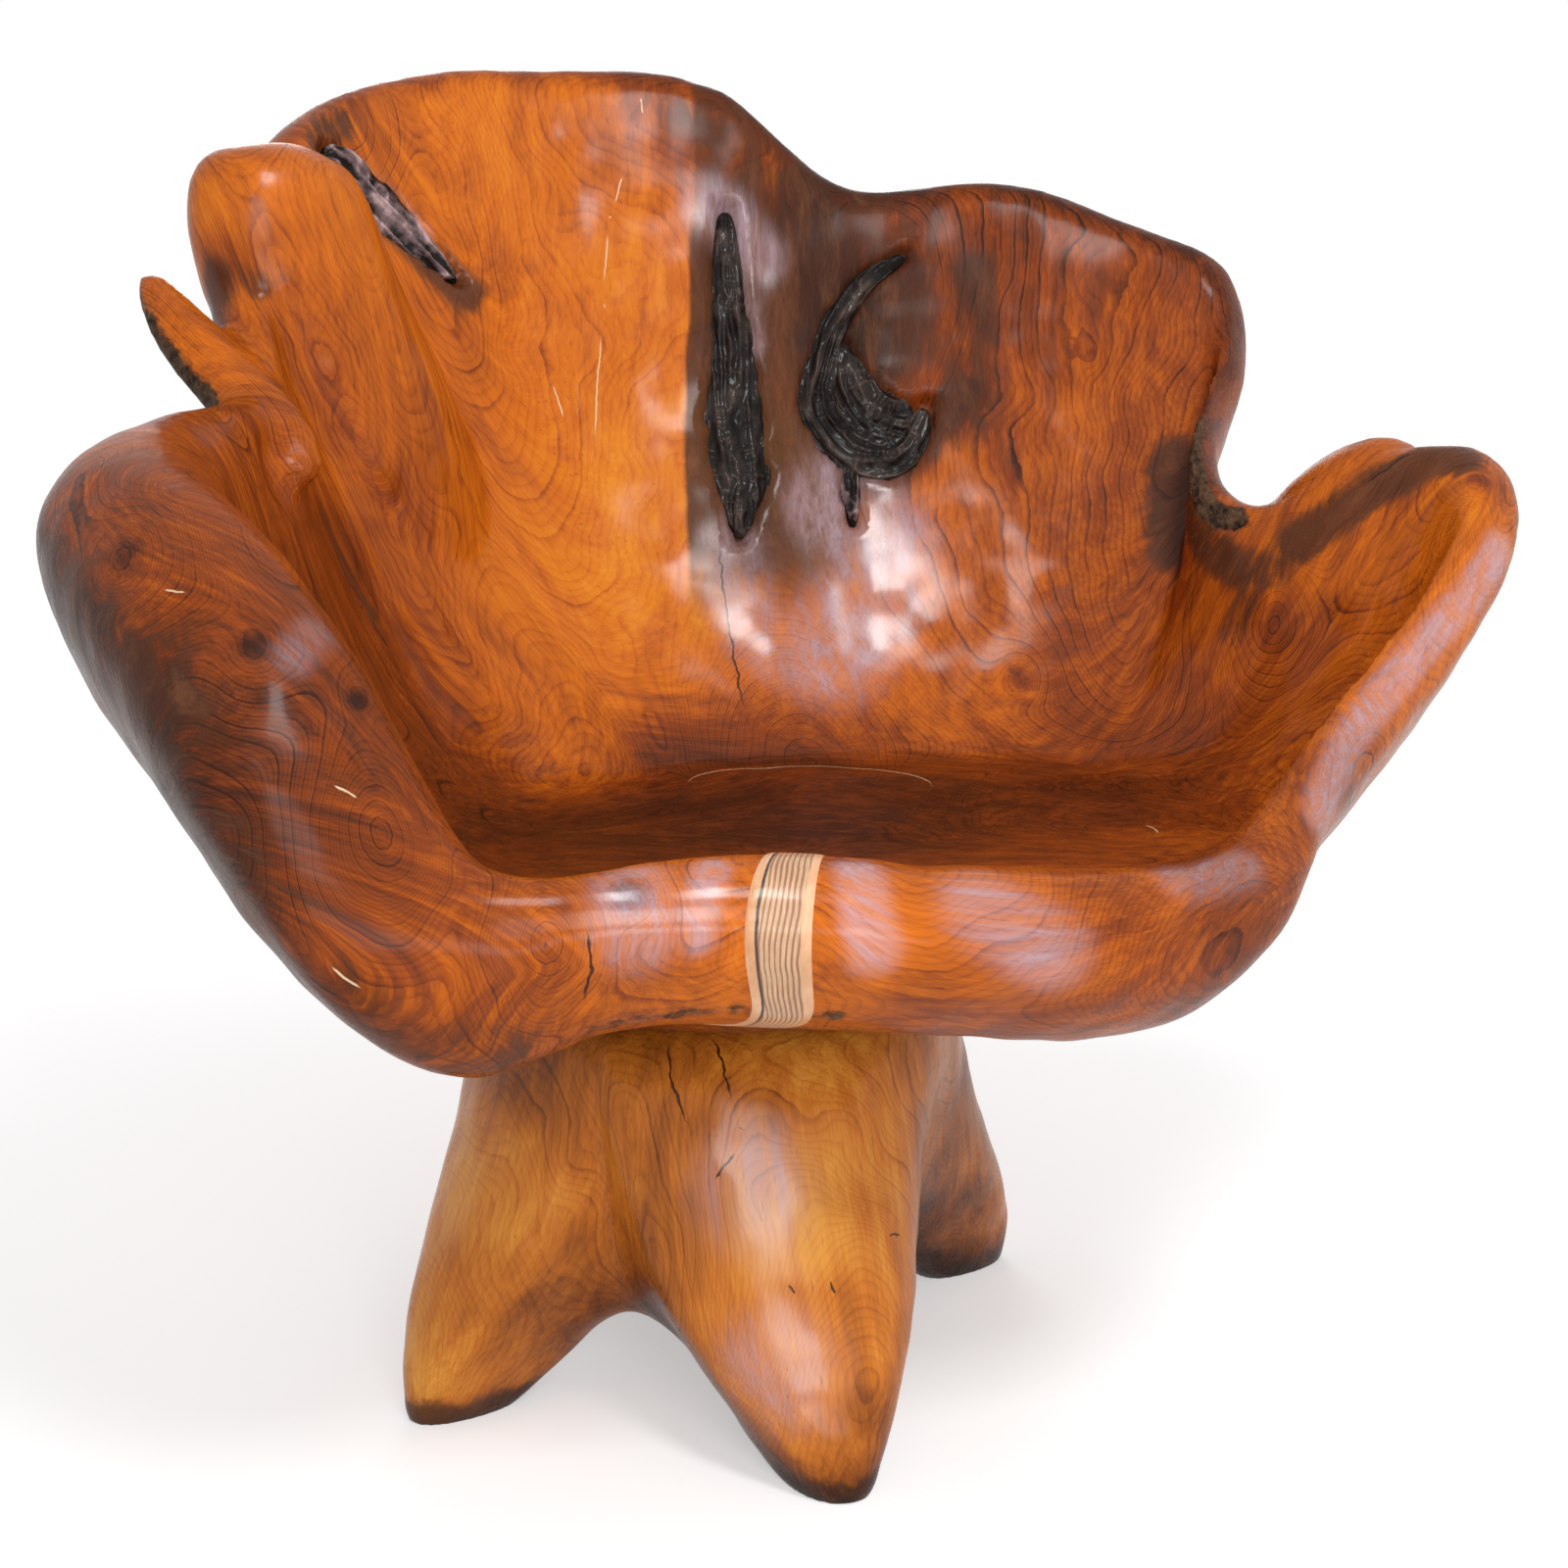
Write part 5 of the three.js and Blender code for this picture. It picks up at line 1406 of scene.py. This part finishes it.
class CHAIR_OT_base(bpy.types.Operator):
    """Make the four-footed root base"""

    bl_idname = "chair.base"
    bl_label = "Base"

    def execute(self, context):
        settings = context.scene.chair_base
        rings = skin_grid(base_net(), BASE_GRID)
        rings[..., 2] = np.maximum(rings[..., 2], 0)
        mesh = mesh_of("base_burl", outward_shell(rings))
        points, out = vertex_vectors(mesh, "co"), vertex_vectors(mesh, "normal")
        keep(mesh, **base_fields(points, out))
        worked = carved(points, settings.tool_marks, seed=13)
        worked *= ease(points[:, 2], *SOLE_CLEARANCE) * fade(points[:, 2], *TOP_CLEARANCE)
        place(mesh, points + out * worked[:, None])
        wood = lacquered_wood("base_wood", wood_stops(settings), settings.ring_spacing)
        add_piece(mesh, "base", "base_wood", wood, "base_root")
        return {"FINISHED"}


def ball_rings(centre, radius):
    """A ball: the centre plus the radius times (sin a cos t, sin a sin t, cos a)."""
    t = np.linspace(0, 2 * math.pi, BALL_GRID[0], endpoint=False)[:, None]
    a = np.linspace(0, math.pi, BALL_GRID[1])
    way = np.stack([np.sin(a) * np.cos(t), np.sin(a) * np.sin(t), np.broadcast_to(np.cos(a), (len(t), len(a)))], -1)
    return np.asarray(centre) + radius * way


class CHAIR_OT_bearing(bpy.types.Operator):
    """Make the bearing's balls and finish its plates, cage and screws"""

    bl_idname = "chair.bearing"
    bl_label = "Bearing"

    def execute(self, context):
        settings = context.scene.chair_bearing
        steel = worked_metal("ball_steel", tuple(settings.ball))
        finishes = {
            "lower_plate": worked_metal("sheet_steel", tuple(settings.sheet)),
            "bearing_cage": worked_metal("cage_brass", tuple(settings.cage)),
            "lower_screw_1": worked_metal("screw_steel", tuple(settings.screw)),
        }
        finishes["upper_plate"] = finishes["lower_plate"]
        for name, node in frame["nodes"].items():
            if "screw" in name:
                finishes[name] = finishes["lower_screw_1"]
            if name.startswith("ball_"):
                rings = ball_rings(np.mean(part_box(name), axis=0), BALL_RADIUS)
                mesh = mesh_of(name.replace("ball", "bearing_ball"), outward_shell(rings))
                add_piece(mesh, node["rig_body"], "ball_steel", steel, name)
        for name, finish in finishes.items():
            materials = frame["nodes"][name].data.materials
            materials.clear()
            materials.append(finish)
        return {"FINISHED"}


class CHAIR_OT_stage(bpy.types.Operator):
    """Set the floor, the lights and the camera"""

    bl_idname = "chair.stage"
    bl_label = "Stage"

    def execute(self, context):
        settings = context.scene.chair_stage
        scene = context.scene
        scene.view_settings.view_transform = "Standard"
        lens = bpy.data.cameras.new("camera")
        lens.lens = settings.lens
        lens.sensor_width = SENSOR_WIDTH
        camera = add_object("camera", lens)
        camera.location = settings.eye
        camera.rotation_euler = (math.pi / 2 - settings.dip, 0, settings.heading)
        scene.camera = camera
        scene.world = room_light(settings.room)
        mesh = bpy.data.meshes.new("floor")
        corners = [(x * FLOOR_REACH, y * FLOOR_REACH, 0) for x, y in ((-1, -1), (1, -1), (1, 1), (-1, 1))]
        mesh.from_pydata(corners, [], [(0, 1, 2, 3)])
        mesh.materials.append(pale_floor(tuple(settings.floor)))
        add_object("floor", mesh)
        for name, (stand, target, size) in LAMPS.items():
            lamp = bpy.data.lights.new(name, "AREA")
            lamp.shape = "RECTANGLE"
            lamp.size, lamp.size_y = size
            lamp.energy = getattr(settings, name)
            light = add_object(name, lamp)
            light.location = stand
            light.rotation_euler = (Vector(target) - light.location).to_track_quat("-Z", "Y").to_euler()
        return {"FINISHED"}


def room_light(strength):
    """A world that lights the object softly and shows as white."""
    board = Board(bpy.data.worlds.new("studio"))
    back = board.tree.nodes["Background"]
    back.inputs["Color"].default_value = (1, 1, 1, 1)
    board.plug(back.inputs["Strength"], board.node("ShaderNodeMix", {}, {0: board.seen(), 2: strength, 3: 1.0}))
    return board.owner


def pale_floor(colour):
    """A pale floor that keeps shadows and otherwise shows nearly white."""
    board = Board(bpy.data.materials.new("floor"))
    nodes = board.tree.nodes
    nodes.remove(nodes["Principled BSDF"])
    away = board.node("ShaderNodeVectorMath", {"operation": "LENGTH"}, {0: board.place()}, "Value")
    glowing = FLOOR_LIFT + board.step(away, *FLOOR_FADE) * FAR_FLOOR_LIFT
    matt = board.node("ShaderNodeBsdfDiffuse", {}, {"Color": (*colour, 1)})
    glow = board.node("ShaderNodeEmission", {}, {"Strength": glowing * board.seen()})
    both = board.node("ShaderNodeAddShader", {}, {0: matt, 1: glow})
    board.plug(nodes["Material Output"].inputs["Surface"], both)
    return board.owner


class CHAIR_PT_panel(bpy.types.Panel):
    """Lists the chair's pieces and their settings"""

    bl_idname = "CHAIR_PT_panel"
    bl_label = "Root-wood chair"
    bl_space_type = "VIEW_3D"
    bl_region_type = "UI"
    bl_category = "Chair"

    def draw(self, context):
        for name, group, operator in PIECES:
            box = self.layout.box()
            box.operator(operator)
            settings = getattr(context.scene, name)
            for one in group.__annotations__:
                box.prop(settings, one)


PIECES = (
    ("chair_base", BaseSettings, "chair.base"),
    ("chair_bearing", BearingSettings, "chair.bearing"),
    ("chair_seat", SeatSettings, "chair.seat"),
    ("chair_bark", BarkSettings, "chair.bark"),
    ("chair_inlay", InlaySettings, "chair.inlay"),
    ("chair_stage", StageSettings, "chair.stage"),
)
OPERATORS = (CHAIR_OT_base, CHAIR_OT_bearing, CHAIR_OT_seat, CHAIR_OT_bark, CHAIR_OT_inlay, CHAIR_OT_stage)


def register():
    for name, group, _ in PIECES:
        bpy.utils.register_class(group)
        setattr(bpy.types.Scene, name, bpy.props.PointerProperty(type=group))
    for one in (*OPERATORS, CHAIR_PT_panel):
        bpy.utils.register_class(one)


def unregister():
    for one in (CHAIR_PT_panel, *reversed(OPERATORS)):
        bpy.utils.unregister_class(one)
    for name, group, _ in reversed(PIECES):
        delattr(bpy.types.Scene, name)
        bpy.utils.unregister_class(group)


def main():
    register()
    bpy.ops.chair.base()
    bpy.ops.chair.bearing()
    bpy.ops.chair.seat()
    bpy.ops.chair.bark()
    bpy.ops.chair.inlay()
    bpy.ops.chair.stage()


if __name__ == "__main__":
    main()
